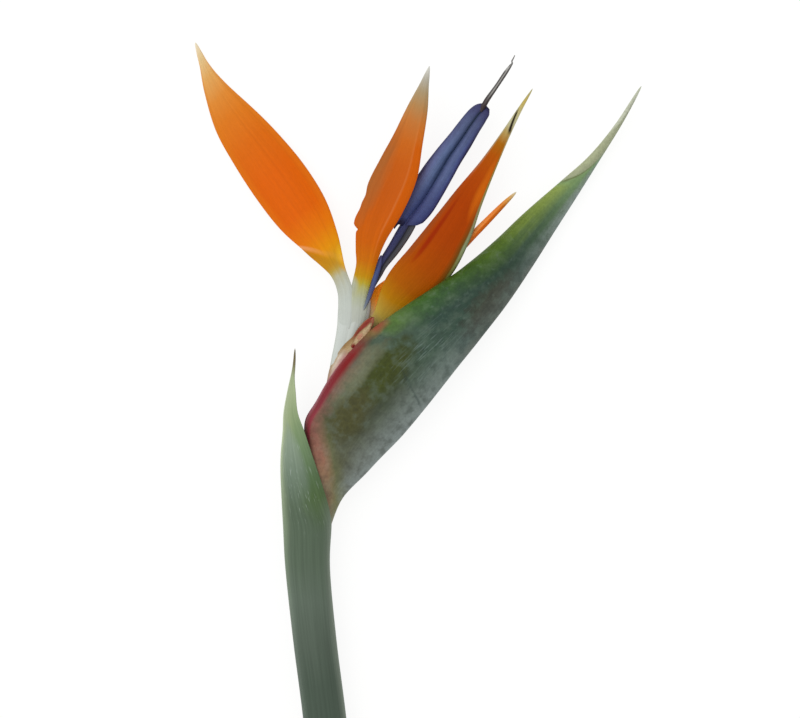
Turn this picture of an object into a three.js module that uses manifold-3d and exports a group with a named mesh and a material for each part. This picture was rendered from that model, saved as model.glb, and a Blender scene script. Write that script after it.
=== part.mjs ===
// Bird of paradise flower, cut with a length of stem and laid on its side.
//
// Millimetres. Z is up from the surface that the flower lies on, Y runs from the cut end of
// the stem towards the petal tips, and X runs to the side that the beak points to.
// While the pieces are drawn, zero is on the surface under the cut end of the stem. At the
// end the whole group is moved so that its origin is the middle of its footprint.

import * as THREE from "three";
import { mergeVertices } from "three/addons/utils/BufferGeometryUtils.js";
import Module from "manifold-3d";

const wasm = await Module();
wasm.setup();

// Driving dimensions

const GAP = 0.3; // left between two pieces that touch
const SHEATH_WALL = 1.0;
const SPATHE_WALL = 1.5;
const SEPAL_THICK = 1.3;
const TONGUE_THICK = 2.2;
const HOOD_THICK = 0.8;
const BRACTEOLE_THICK = 0.5;
const EDGE_SHARE = 0.45; // how much of its thickness a blade keeps at its edges
const CUPPING = 0.16; // how far a flat sepal's edges bend down, of its half width
const RIDGE_PLACE = 0.35; // where the middle sepal's ridge runs, 0 at its middle, 1 at its edge
const RIDGE_DROP = 0.3; // how steeply the middle sepal falls away from its ridge
const GROOVE_DEPTH = 0.3; // how deep the tongue's groove is, of its half width
const KEEL_SHARPNESS = 1.5; // 2 is a round keel, 1 a sharp one
const SHOULDER = 0.25; // how far the spathe's widest place lies towards its open edge

// Stations, from the base of each piece to its tip. The first three numbers are a point on
// its middle line, and the rest are sizes there.

// x, y, z, radius
const STEM = [
  [3.5, 0, 7.2, 7.2],
  [2.6, 14, 7.4, 7.2],
  [1.6, 26, 8.2, 6.9],
  [1.4, 45, 8.2, 6.3],
  [-0.2, 62, 8.2, 6.3],
  [-1.8, 77, 8.3, 6.4],
  [-3.6, 95, 8.3, 6.1],
  [-4.7, 107, 8.4, 6.2],
  [-4.8, 115, 8.9, 6.2],
];

// x, y, z of the middle of the roll, its radius across and up, its half angle in degrees
const SHEATH = [
  [1.6, 27, 8.3, 7.8, 7.8, 176],
  [1.4, 45, 8.1, 7.3, 7.6, 176],
  [-1.8, 77, 8.3, 7.4, 7.8, 176],
  [-4.2, 103, 8.3, 7.2, 7.8, 176],
  [-4.4, 118, 9.2, 8.5, 8.7, 170],
  [-4.3, 124, 9.9, 9.1, 9.3, 150],
  [-4.4, 130, 10.4, 9.5, 9.9, 134],
  [-4.8, 138, 10.8, 9.2, 10.2, 120],
  [-5, 145, 10.9, 8.9, 10.2, 106],
  [-5, 153, 11, 8.3, 9.6, 89],
  [-4.9, 160, 11.2, 7.8, 8.4, 73],
  [-4.6, 168, 11.4, 6.8, 6.4, 56],
  [-5, 176, 11.4, 5, 4.2, 43],
  [-6.2, 183, 11.4, 2.8, 2, 30],
];

// x, y, z, half height, half beam, half gap between the two open edges
const SPATHE = [
  [-4.4, 117, 9, 5.6, 5.4, 0.4],
  [-0.2, 132, 10.4, 8.1, 6.6, 0.6],
  [6.8, 146, 11, 12.2, 7.7, 1.2],
  [14.7, 159.5, 11.4, 15.8, 8.6, 3.4],
  [24.8, 172.3, 11.8, 16.3, 8.9, 5.1],
  [35.7, 184, 11.2, 15.1, 8.4, 5],
  [47, 194.3, 10, 12.8, 7.6, 4],
  [58.4, 204.7, 8.4, 10.1, 6.6, 2.4],
  [68.7, 216, 6.8, 7.9, 5.3, 1.2],
  [79, 228.5, 5.5, 5.9, 4.1, 0.9],
  [89.3, 240.3, 4.7, 3.7, 3, 0.9],
  [98.9, 251.6, 4.6, 2.1, 2.1, 0.8],
  [107.8, 264, 5.1, 1.4, 1.5, 0.8],
  [116.1, 277.9, 6.2, 0.9, 0.9, 0.8],
];

// x, y, z, half width, half depth
const FLOWER_BASE = [
  [-5.8, 117.4, 9.2, 2, 2.2],
  [-2, 128, 9.8, 2.6, 2.6],
  [1.6, 140, 10.6, 3.1, 3],
  [4.2, 152, 11.2, 3.7, 3.2],
  [5.6, 164, 11.6, 4.2, 3.3],
  [7.2, 175, 11.7, 4.4, 3.4],
  [9.4, 186, 11.7, 4.9, 3.4],
  [11.6, 194, 11.6, 6.2, 3.4],
  [13.2, 199.2, 11.5, 7.2, 3.2],
];
const SECOND_BUD = [
  [-2.2, 117.4, 9.2, 1, 1],
  [2.4, 127, 9.8, 1.5, 1.5],
  [9, 140, 10.6, 2.4, 2.4],
  [17.5, 155, 10.8, 3.8, 3.8],
  [27, 171, 10.6, 3.6, 3.6],
  [34.5, 186, 9.8, 2.6, 2.6],
  [39, 197.4, 8.8, 1.3, 1.3],
];
const STYLE = [
  [58.5, 270.5, 10.8, 1.5, 1.4],
  [63, 276.4, 10.8, 1.2, 1.0],
  [66, 280.4, 11.0, 0.8, 0.8],
  [68.6, 284, 11.2, 0.5, 0.5],
  [70, 288.2, 11.6, 0.3, 0.3],
];

// x, y, z, half width
const SEPAL_LEFT = [
  [12, 199, 10.8, 2.6],
  [9.6, 205, 11.2, 3.1],
  [6, 211.5, 11, 3.8],
  [0.5, 221, 10.2, 6.5],
  [-6.5, 231.5, 8.5, 9.5],
  [-14.5, 243.2, 6.6, 10.5],
  [-23, 254.6, 4.9, 9.7],
  [-31.3, 265.8, 3.2, 7.9],
  [-38.2, 277.4, 1.5, 3.9],
  [-42.2, 286.2, 0.8, 1.6],
  [-44.6, 292, 0.9, 0.5],
];
const SEPAL_MIDDLE = [
  [14, 196.5, 13, 1.9],
  [15.3, 204, 14.4, 2.6],
  [16.7, 213.5, 15.5, 3.7],
  [18.6, 224, 16.9, 5.9],
  [22.8, 235, 17.7, 7.7],
  [27.5, 246, 17.8, 7.6],
  [31.5, 257.5, 17.5, 5.6],
  [35.1, 269, 17.1, 3.7],
  [37.7, 278.2, 17, 1.6],
  [39.2, 284, 17.2, 0.4],
];
const TONGUE = [
  [16.4, 196, 10.2, 1.1],
  [18.7, 203.5, 9.9, 1.1],
  [21.3, 211.3, 10, 1.4],
  [25.6, 218.7, 10.2, 1.9],
  [30, 225.8, 10.4, 2.3],
  [34.5, 233, 10.6, 5.2],
  [39.5, 241, 10.7, 5.8],
  [44.3, 249, 10.8, 5.3],
  [49.5, 256.7, 10.8, 4.8],
  [54.2, 264, 10.8, 4.1],
  [58.2, 270.2, 10.8, 2.6],
];
const HOOD = [
  [16.8, 197.2, 11.6, 0.8],
  [18.6, 205.5, 12.4, 1.2],
  [20.4, 210.5, 12.6, 1.1],
  [22.2, 215.4, 12.6, 0.4],
];
const BRACTEOLE = [
  [8.5, 166, 15.7, 2.6],
  [10, 174, 15.9, 3.2],
  [12.8, 181.5, 16.1, 3.0],
  [15.4, 187, 16.0, 2.0],
  [17.2, 190.6, 15.8, 0.7],
];
const SECOND_SEPAL = [
  [39.8, 199, 8.6, 1.1],
  [44.5, 208, 8.2, 1.2],
  [49.4, 215, 7.8, 1.3],
  [55, 221.8, 7.8, 1.2],
  [63, 231, 8.2, 1],
  [70.6, 239, 8.8, 0.4],
];

// x, y, z of the middle, half width across, half opening between the folded halves
const SEPAL_RIGHT = [
  [15.5, 188.5, 11.2, 2, 1.4],
  [22, 194, 11, 3, 1.8],
  [30, 204.2, 10.6, 7.5, 3.2],
  [39, 214, 10.4, 8.7, 3.6],
  [46.4, 225.2, 10.7, 7.5, 3.4],
  [53.1, 236.9, 11.2, 5.2, 2.7],
  [60.1, 248.7, 11.6, 3.1, 2],
  [66.6, 260.1, 12, 1.9, 1.4],
  [72, 269.6, 12.4, 1.2, 1],
  [76.2, 276.4, 12.6, 0.8, 0.8],
];

// Curves and sections

/** Reads a list of stations smoothly: a point, the directions there, and the sizes there. */
function read(stations) {
  const points = stations.map(([x, y, z]) => new THREE.Vector3(x, y, z));
  const sizes = stations.map(([, , , a, b = 0, c = 0]) => new THREE.Vector3(a, b, c));
  const line = new THREE.CatmullRomCurve3(points, false, "catmullrom");
  const size = new THREE.CatmullRomCurve3(sizes, false, "catmullrom");
  return (v) => {
    const at = THREE.MathUtils.clamp(v, 0, 1);
    const ahead = line.getTangent(at);
    const right = new THREE.Vector3(ahead.y, -ahead.x, 0).normalize();
    const up = right.clone().cross(ahead);
    const point = line.getPoint(at).addScaledVector(ahead, (v - at) * line.getLength());
    return { point, ahead, right, up, sizes: size.getPoint(at).toArray() };
  };
}

/** Moves every vertex of a closed three.js geometry and merges the doubles. */
function bend(geometry, move) {
  const position = geometry.attributes.position;
  for (let i = 0; i < position.count; i++) {
    const moved = move(position.getX(i), position.getY(i), position.getZ(i));
    position.setXYZ(i, moved.x, moved.y, moved.z);
  }
  geometry.deleteAttribute("normal");
  geometry.deleteAttribute("uv");
  return mergeVertices(geometry, 1e-3);
}

/** A closed tapering stalk: an oval of the stations' sizes carried along their line. */
function stalk(stations, sides, steps, grow = 0) {
  const at = read(stations);
  return bend(new THREE.CylinderGeometry(1, 1, 1, sides, steps), (x, y, z) => {
    const { point, ahead, right, up, sizes } = at(y + 0.5);
    const [across, deep = across] = [sizes[0], sizes[1] || sizes[0]];
    return point
      .addScaledVector(right, x * (across + grow))
      .addScaledVector(up, z * (deep + grow))
      .addScaledVector(ahead, 2 * y * grow);
  });
}

/** A closed thin wall about a surface, where surface(u, v) has u from -1 to 1 across. */
function wall(surface, thickness, across, along, edgeShare = EDGE_SHARE) {
  const step = 1e-3;
  return bend(new THREE.BoxGeometry(2, 1, 2, across, along, 1), (u, y, side) => {
    const v = y + 0.5;
    const overU = surface(u + step, v).sub(surface(u - step, v));
    const overV = surface(u, v + step).sub(surface(u, v - step));
    const normal = overU.cross(overV).normalize();
    const share = edgeShare + (1 - edgeShare) * Math.sqrt(Math.max(0, 1 - u * u));
    return surface(u, v).addScaledVector(normal, (side * thickness * share) / 2);
  });
}

/** A surface whose section is section(u, sizes), as an offset to the right and an offset up. */
function lofted(stations, section) {
  const at = read(stations);
  return (u, v) => {
    const { point, right, up, sizes } = at(v);
    const [across, high] = section(u, sizes);
    return point.addScaledVector(right, across).addScaledVector(up, high);
  };
}

const cupped = (u, [half]) => [half * u, -CUPPING * half * u * u];
const flat = (u, [half]) => [half * u, 0];
const grooved = (u, [half]) => [half * u, GROOVE_DEPTH * half * (Math.abs(u) - 0.5)];

function ridged(u, [half]) {
  return [half * u, -RIDGE_DROP * half * Math.hypot(u - RIDGE_PLACE, 0.2)];
}

/** Folded along its right edge, with both halves reaching back to the left. */
function folded(u, [half, opening]) {
  return [half * (1 - 2 * Math.sin((Math.PI * Math.abs(u)) / 2) ** KEEL_SHARPNESS),
    opening * Math.sin((Math.PI * u) / 2)];
}

/** The boat: a keel on the right, two bellied sides, and two edges that turn in. */
function boat(u, [half, beam, gap]) {
  const side = Math.sin(Math.PI * u) * (1 - SHOULDER * Math.cos(Math.PI * u));
  return [half * (1 - 2 * Math.sin((Math.PI * Math.abs(u)) / 2) ** KEEL_SHARPNESS),
    beam * side + gap * u * Math.abs(u)];
}

/** The rolled sheath, whose middle faces left and whose edges meet on the right. */
function rolled(stations) {
  const at = read(stations);
  return (u, v) => {
    const { point, sizes } = at(v);
    const [across, high, halfAngle] = sizes;
    const angle = THREE.MathUtils.degToRad(halfAngle * u);
    return point.add(new THREE.Vector3(-across * Math.cos(angle), 0, high * Math.sin(angle)));
  };
}

// Joints: a piece is cut back where it would run into the one that carries it

function toSolid(geometry) {
  return new wasm.Manifold(new wasm.Mesh({
    numProp: 3,
    vertProperties: geometry.attributes.position.array,
    triVerts: Uint32Array.from(geometry.index.array),
  }));
}

/** The piece less its carrier, where the carrier has been grown by the gap between them. */
function cutBack(piece, grownCarrier) {
  const cut = toSolid(piece).subtract(toSolid(grownCarrier)).getMesh();
  const geometry = new THREE.BufferGeometry();
  geometry.setAttribute("position", new THREE.BufferAttribute(cut.vertProperties, 3));
  geometry.setIndex(new THREE.BufferAttribute(cut.triVerts, 1));
  return geometry;
}

// Materials

function finish(colour, roughness) {
  return new THREE.MeshStandardMaterial({ color: colour, roughness, metalness: 0 });
}

const stemGreen = finish(0x5a6b59, 0.6);
const sheathGreen = finish(0x8a9c78, 0.6);
const spatheGreen = finish(0x4a5f44, 0.5);
const budGreen = finish(0xb4bf93, 0.6);
const claws = finish(0xc4cac0, 0.5);
const paper = finish(0xb08a68, 0.8);
const orange = finish(0xd8600a, 0.5);
const deepOrange = finish(0xac3c07, 0.5);
const blue = finish(0x495178, 0.55);
const grey = finish(0x707078, 0.6);

// The pieces

const flower = new THREE.Group();

function add(name, geometry, material) {
  const mesh = new THREE.Mesh(geometry, material);
  mesh.name = name;
  flower.add(mesh);
}

// The stalk, its sheath and the boat that the flowers stand in
add("stem", stalk(STEM, 20, 16), stemGreen);
add("sheath", wall(rolled(SHEATH), SHEATH_WALL, 18, 26, 1), sheathGreen);
add("spathe", wall(lofted(SPATHE, boat), SPATHE_WALL, 16, 30, 0.8), spatheGreen);

// The open flower: its base, three sepals, two kinds of petal and the style
const carrier = stalk(FLOWER_BASE, 14, 16, GAP);
const onBase = (piece) => cutBack(piece, carrier);
add("bracteole", wall(lofted(BRACTEOLE, flat), BRACTEOLE_THICK, 4, 8), paper);
add("flower_base", stalk(FLOWER_BASE, 14, 16), claws);
add("sepal_left", onBase(wall(lofted(SEPAL_LEFT, cupped), SEPAL_THICK, 6, 18)), orange);
add("sepal_middle", onBase(wall(lofted(SEPAL_MIDDLE, ridged), SEPAL_THICK, 6, 16)), orange);
add("sepal_right", onBase(wall(lofted(SEPAL_RIGHT, folded), SEPAL_THICK, 8, 18)), deepOrange);
add("petal_tongue", onBase(wall(lofted(TONGUE, grooved), TONGUE_THICK, 6, 22)), blue);
add("petal_hood", onBase(wall(lofted(HOOD, flat), HOOD_THICK, 2, 8)), blue);
add("style", stalk(STYLE, 8, 8), grey);

// The next flower, still folded inside the boat, with one sepal out
add("second_flower_bud", stalk(SECOND_BUD, 10, 12), budGreen);
add("second_flower_sepal", wall(lofted(SECOND_SEPAL, cupped), SEPAL_THICK, 2, 12), orange);

// The origin: the middle of the footprint, on the surface

const box = new THREE.Box3().setFromObject(flower);
const middle = box.getCenter(new THREE.Vector3());
flower.position.set(-middle.x, -middle.y, -box.min.z);

export default flower;
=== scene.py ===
# %% [markdown]
# # A cut bird of paradise flower, lying on its side
#
# The flower is a stalk in a rolled sheath, a boat-shaped green bract called the spathe, and
# the flowers that stand in it: orange sepals, a blue arrow-shaped petal and a grey style.
# The packed model is loaded first, because every piece here is laid where it says.

# %% Load the frame
import math

import bmesh
import bpy
import numpy as np
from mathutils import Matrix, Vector, noise


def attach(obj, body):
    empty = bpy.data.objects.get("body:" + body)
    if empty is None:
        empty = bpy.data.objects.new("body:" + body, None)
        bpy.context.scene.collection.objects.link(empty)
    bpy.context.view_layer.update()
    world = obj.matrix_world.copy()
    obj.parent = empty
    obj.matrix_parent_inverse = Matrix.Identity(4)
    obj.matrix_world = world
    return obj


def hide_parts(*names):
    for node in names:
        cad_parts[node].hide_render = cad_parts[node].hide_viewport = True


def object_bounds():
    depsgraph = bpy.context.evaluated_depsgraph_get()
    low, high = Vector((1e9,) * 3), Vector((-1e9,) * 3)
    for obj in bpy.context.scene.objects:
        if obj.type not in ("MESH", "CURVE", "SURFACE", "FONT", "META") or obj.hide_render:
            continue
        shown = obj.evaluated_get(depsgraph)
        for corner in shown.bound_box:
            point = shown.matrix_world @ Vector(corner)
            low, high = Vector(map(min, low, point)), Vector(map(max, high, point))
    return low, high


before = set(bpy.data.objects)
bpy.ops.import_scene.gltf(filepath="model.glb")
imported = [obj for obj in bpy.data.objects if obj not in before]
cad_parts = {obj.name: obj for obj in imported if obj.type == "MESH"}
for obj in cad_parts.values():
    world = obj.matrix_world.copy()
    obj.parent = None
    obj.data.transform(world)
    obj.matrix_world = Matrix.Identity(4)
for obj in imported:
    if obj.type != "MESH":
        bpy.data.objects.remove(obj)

MODEL_LOW, MODEL_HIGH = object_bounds()
print("model box in metres:", [round(side, 4) for side in MODEL_HIGH - MODEL_LOW])

# %% [markdown]
# ## The drawing's zero
#
# The stations of each piece are in millimetres, from a zero on the surface under the cut end
# of the stem. The frame's zero is the middle of the flower's footprint. The footprint's middle
# lies at a known place on the drawing, so the shift between the two comes from the frame's
# own box, and a moved model would carry the drawing with it.

# %% From the drawing to the frame
MM = 0.001
FOOTPRINT_MIDDLE = np.array([36.19, 145.88, 0.0])  # on the drawing
box_middle = (MODEL_LOW + MODEL_HIGH) / 2
ZERO = np.array([box_middle.x, box_middle.y, MODEL_LOW.z]) - MM * FOOTPRINT_MIDDLE


def in_frame(point):
    """A point of the drawing, in metres in the frame."""
    return Vector(ZERO + MM * np.asarray(point, dtype=float))


print("drawing zero in the frame:", [round(float(side), 4) for side in ZERO])

# %% [markdown]
# ## The camera
#
# A flower lying on a table is seen best from straight above. A long lens a good way off keeps
# the raised petals from looking bigger than the low ones, as a close wide lens would.

# %% Camera
CAMERA_ABOVE = [28.8, 179.2]  # the point on the drawing under the lens
VIEW_WIDTH = 288.0  # what the picture's width covers, at the height of the petals
PETAL_HEIGHT = 12.0
LENS = 150.0
SENSOR = 36.0

camera_data = bpy.data.cameras.new("overhead")
camera_data.lens = LENS
camera_data.sensor_width = SENSOR
camera = bpy.data.objects.new("overhead", camera_data)
bpy.context.collection.objects.link(camera)
camera_distance = VIEW_WIDTH * LENS / SENSOR
camera.location = in_frame(CAMERA_ABOVE + [PETAL_HEIGHT + camera_distance])
bpy.context.scene.camera = camera
print("camera height in metres:", round(camera.location.z, 3))

# %% [markdown]
# ## Reading a list of stations
#
# A petal is easiest to draw as a middle line with sizes along it. A smooth curve through the
# stations, a Catmull-Rom spline, needs only as many of them as the shape has turns. It is read
# by length, so that the rows of the mesh are evenly spaced. At each place there are three
# directions: ahead along the line, right across it in the flat, and up out of it.

# %% Stations
LENGTH_STEPS = 400
LOOK_AHEAD = 0.004


def follow(rows):
    """Gives a function of s, 0 at the base and 1 at the tip: place, right, up and sizes."""
    rows = np.array(rows, dtype=float)
    spans = len(rows) - 1
    ends = np.vstack([2 * rows[0] - rows[1], rows, 2 * rows[-1] - rows[-2]])

    def spot(t):
        i = min(int(t * spans), spans - 1)
        f = t * spans - i
        a, b, c, d = ends[i:i + 4]
        bend = 2 * a - 5 * b + 4 * c - d
        turn = 3 * b - a - 3 * c + d
        return 0.5 * (2 * b + (c - a) * f + bend * f ** 2 + turn * f ** 3)

    reads = np.linspace(0, 1, LENGTH_STEPS + 1)
    path = np.array([spot(t)[:3] for t in reads])
    gone = np.concatenate([[0], np.cumsum(np.linalg.norm(np.diff(path, axis=0), axis=1))])
    known = {}

    def at(s):
        if s not in known:
            t = float(np.interp(s * gone[-1], gone, reads))
            here = spot(t)
            ahead = spot(min(t + LOOK_AHEAD, 1))[:3] - spot(max(t - LOOK_AHEAD, 0))[:3]
            ahead /= np.linalg.norm(ahead)
            right = np.array([ahead[1], -ahead[0], 0.0])
            right /= np.linalg.norm(right)
            known[s] = here[:3], right, np.cross(right, ahead), here[3:]
        return known[s]

    return at


halfway = follow([[0, 0, 0], [0, 10, 0], [0, 20, 0]])(0.5)[0]
print("halfway along a straight 20 mm line:", [round(float(side), 1) for side in halfway])

# %% [markdown]
# ## Small formulas for shapes
#
# Three short formulas are used again and again. One measures how long a line is drawn, so that
# each piece can print its length. The other two let a change set in gently along a piece: an
# easy slope from 0 to 1, and a bump that dies away on both sides.

# %% Shape formulas
def length_of(rows):
    """How long a middle line is drawn, in millimetres."""
    steps = np.diff([row[:3] for row in rows], axis=0)
    return round(float(np.linalg.norm(steps, axis=1).sum()), 1)


def step_up(value, low, high):
    """0 below low, 1 above high, and an easy slope between."""
    x = min(max((value - low) / (high - low), 0.0), 1.0)
    return x * x * (3 - 2 * x)


def hump(value, middle, width):
    """A bump of height 1 at the middle that dies away over the width."""
    return math.exp(-((value - middle) / width) ** 2)


print("an easy slope at its quarter, half and end:", [step_up(x, 0, 1) for x in (0.25, 0.5, 1)])

# %% [markdown]
# ## From stations to a surface
#
# Lofting sweeps a section along the middle line. The section is a formula of u, -1 at the left
# edge and 1 at the right, so a flat, cupped or folded blade differs only in its formula. Leaves
# end in fine points, so the section shrinks to nearly nothing over the last stretch. A slow
# wander of a fraction of a millimetre keeps the surface from looking machined.

# %% Loft
WANDER = 0.22
WANDER_LENGTH = 14.0
POINT_SHARE = 0.06  # what is left of a section at the very tip
KEEL_SHARPNESS = 1.5  # of the section of a folded blade


def to_a_point(s, length):
    """1 along the blade and nearly 0 at its tip, over the last share of its length."""
    left = min((1 - s) / length, 1.0) if length else 1.0
    return POINT_SHARE + (1 - POINT_SHARE) * math.sqrt(max(0.0, 1 - (1 - left) ** 2))


def lofted(rows, section, tip=0.05, wander=WANDER):
    """A surface whose section is section(u, s, sizes): an offset right and an offset up."""
    at = follow(rows)

    def surface(u, s):
        place, right, up, sizes = at(s)
        across, high = section(u, s, sizes * to_a_point(s, tip))
        spot = place + across * right + high * up
        drift = noise.noise(Vector(spot / WANDER_LENGTH)) * wander
        return spot + drift * up

    return surface


print("share of a section left halfway into a point:", round(to_a_point(0.95, 0.1), 2))

# %% [markdown]
# ## A grid with a chart
#
# The grid gives the piece its chart, a UV map with x across and y along, so that veins and
# colour run with the blade however it curves. Once its corners are in place, the grid becomes
# an object that hangs from the root, and the model's part that it replaces is hidden.

# %% Grid and piece
CHART = "across_and_along"


def even(u):
    """Columns crowd a little towards both edges, so that the thin edges come out round."""
    return 0.5 * (u + math.sin(0.5 * math.pi * u))


def chart_grid(across, along):
    """A flat grid from -1 to 1 with its chart."""
    grid = bmesh.new()
    bmesh.ops.create_grid(grid, x_segments=across, y_segments=along, size=1.0)
    chart = grid.loops.layers.uv.new(CHART)
    for face in grid.faces:
        for corner in face.loops:
            x, y, _ = corner.vert.co
            corner[chart].uv = ((even(x) + 1) / 2, (y + 1) / 2)
    return grid


def finish_piece(shape, name, looks, node):
    """Turns a bmesh into a piece that rides on the root and stands for a node."""
    mesh = bpy.data.meshes.new(name)
    shape.to_mesh(mesh)
    shape.free()
    mesh.polygons.foreach_set("use_smooth", [True] * len(mesh.polygons))
    for look in looks:
        mesh.materials.append(look)
    piece = bpy.data.objects.new(name, mesh)
    bpy.context.collection.objects.link(piece)
    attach(piece, "root")
    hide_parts(node)
    print(name, "faces:", len(mesh.polygons))
    return piece


print("a column nine tenths of the way out lies at:", round(even(0.9), 3))

# %% [markdown]
# ## Laying a sheet
#
# Petals, sheath and spathe are all thin skins. Every corner of the grid is moved to its place
# on the curved surface, and a Solidify modifier gives the skin its wall. The wall is thinner
# at the edges and the tip, so a vertex group holds each corner's share of it. A folded sheet's
# outside is the back of the grid, so its faces are turned round.

# %% Sheet maker
WALL_GROUP = "wall"
THIN_TIP = 0.06  # the share of a sheet's length over which its wall usually thins out
PETAL_EDGE = 0.22  # how thick a petal's edge is, as a share of its middle
SHELL_EDGE = 0.45
SHELL_SQUARENESS = 24  # how close to its edge a shell keeps its thickness


def lay_sheet(name, surface, size, wall, share, looks, node, folded=False, thin=THIN_TIP):
    """A skin on surface(u, s), as thick in millimetres as wall times share(u)."""
    grid = chart_grid(*size)
    weights = grid.verts.layers.deform.verify()
    for corner in grid.verts:
        u, s = even(corner.co.x), (corner.co.y + 1) / 2
        corner[weights][0] = share(u) * to_a_point(s, thin)
        corner.co = in_frame(surface(u, s))
    if folded:
        bmesh.ops.reverse_faces(grid, faces=grid.faces)
    piece = finish_piece(grid, name, looks, node)
    piece.vertex_groups.new(name=WALL_GROUP)
    thick = piece.modifiers.new("wall", "SOLIDIFY")
    thick.thickness = wall * MM
    thick.offset = 0.0
    thick.vertex_group = WALL_GROUP
    thick.use_quality_normals = True
    if len(looks) > 1:
        thick.material_offset = 1


def lens_share(u):
    """Thick in the middle and thin at the edges, as a petal is."""
    return PETAL_EDGE + (1 - PETAL_EDGE) * math.sqrt(max(0.0, 1 - u * u))


def wall_share(u):
    """Nearly the same all over, with rounded edges."""
    return SHELL_EDGE + (1 - SHELL_EDGE) * (1 - abs(u) ** SHELL_SQUARENESS)


print("petal thickness halfway to its edge, as a share:", round(lens_share(0.5), 2))

# %% [markdown]
# ## Rolling a stalk
#
# Stalks are solid, so they need no wall. The same grid is rolled up: its columns go round the
# stalk, the seam is welded, and the rows at each end draw in to a point, which closes it.
# Its faces are then turned outwards, after the weld, because only a closed shape has an outside.

# %% Stalk maker
WELD = 0.00001


def roll_stalk(name, surface, size, looks, node):
    """A closed stalk on surface(angle, s), with angle 0 on top."""
    stalk = chart_grid(*size)
    for corner in stalk.verts:
        corner.co = in_frame(surface(math.pi * even(corner.co.x), (corner.co.y + 1) / 2))
    bmesh.ops.remove_doubles(stalk, verts=stalk.verts, dist=WELD)
    bmesh.ops.recalc_face_normals(stalk, faces=stalk.faces)
    finish_piece(stalk, name, looks, node)


def round_section(rows, ends=0.02, relief=None):
    """An oval surface whose stations give half width and half height, drawn in at its ends."""
    at = follow(rows)

    def surface(angle, s):
        place, right, up, (wide, high) = at(s)
        left = min(s, 1 - s) / ends
        size = math.sqrt(max(0.0, 1 - max(0.0, 1 - left) ** 2))
        size *= 1.0 + (relief(angle, s) if relief else 0.0)
        return place + size * (right * math.sin(angle) * wide + up * math.cos(angle) * high)

    return surface


print("welds corners closer than, in mm:", WELD / MM)

# %% [markdown]
# ## Mixing a finish
#
# A plant's colour is never flat. It runs along the blade, changes across it, and is broken by
# fine veins. Each finish is therefore mixed in layers on the piece's own chart. A material is a
# web of nodes, and making each by hand would hide what it is for. So a class holds the
# material and makes one node for each word, first of all the arithmetic. Plant skin is waxy but
# not glassy, so its reflection is kept low.

# %% Materials and arithmetic
def tint(code):
    """A colour such as c4702a as linear light."""
    channels = [int(code[i:i + 2], 16) / 255 for i in (0, 2, 4)]
    return [c / 12.92 if c <= 0.04045 else ((c + 0.055) / 1.055) ** 2.4 for c in channels] + [1]


class Sums:
    """A material with its chart, and the arithmetic that its masks need."""

    def __init__(self, name, roughness, specular=0.1):
        self.material = bpy.data.materials.new(name)
        self.material.use_nodes = True
        self.tree = self.material.node_tree
        self.skin = self.tree.nodes["Principled BSDF"]
        self.skin.inputs["Roughness"].default_value = roughness
        self.skin.inputs["Specular IOR Level"].default_value = specular
        chart = self.tree.nodes.new("ShaderNodeUVMap")
        chart.uv_map = CHART
        self.chart = chart.outputs["UV"]
        split = self.tree.nodes.new("ShaderNodeSeparateXYZ")
        self.tree.links.new(self.chart, split.inputs[0])
        self.across = split.outputs["X"]
        self.along = split.outputs["Y"]
        self.place = self.tree.nodes.new("ShaderNodeTexCoord").outputs["Object"]
        self.colour = None

    def put(self, socket, value):
        """Sets a socket to a value, or links it to what another node gives."""
        if isinstance(value, bpy.types.NodeSocket):
            self.tree.links.new(value, socket)
        else:
            socket.default_value = tint(value) if isinstance(value, str) else value

    def reckon(self, how, first, second=0.0):
        """One step of arithmetic, such as ADD or ABSOLUTE."""
        node = self.tree.nodes.new("ShaderNodeMath")
        node.operation = how
        self.put(node.inputs[0], first)
        self.put(node.inputs[1], second)
        return node.outputs[0]

    def plus(self, first, second):
        return self.reckon("ADD", first, second)

    def minus(self, first, second):
        return self.reckon("SUBTRACT", first, second)

    def times(self, first, second):
        return self.reckon("MULTIPLY", first, second)

    def distance(self, value, place):
        """How far the value is from the place."""
        return self.reckon("ABSOLUTE", self.minus(value, place))

    def both(self, first, second):
        """A mask that is full only where both masks are."""
        return self.times(first, second)


print("orange c4702a as linear light:", [round(channel, 3) for channel in tint("c4702a")[:3]])

# %% [markdown]
# ## Masks
#
# A mask is a number from 0 to 1 at each place on the skin. It says where a colour goes. Some
# masks change along or across the piece, some are soft round patches or fine lines, and noise
# makes them all uneven. Noise drawn out along the blade gives veins and streaks.

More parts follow.
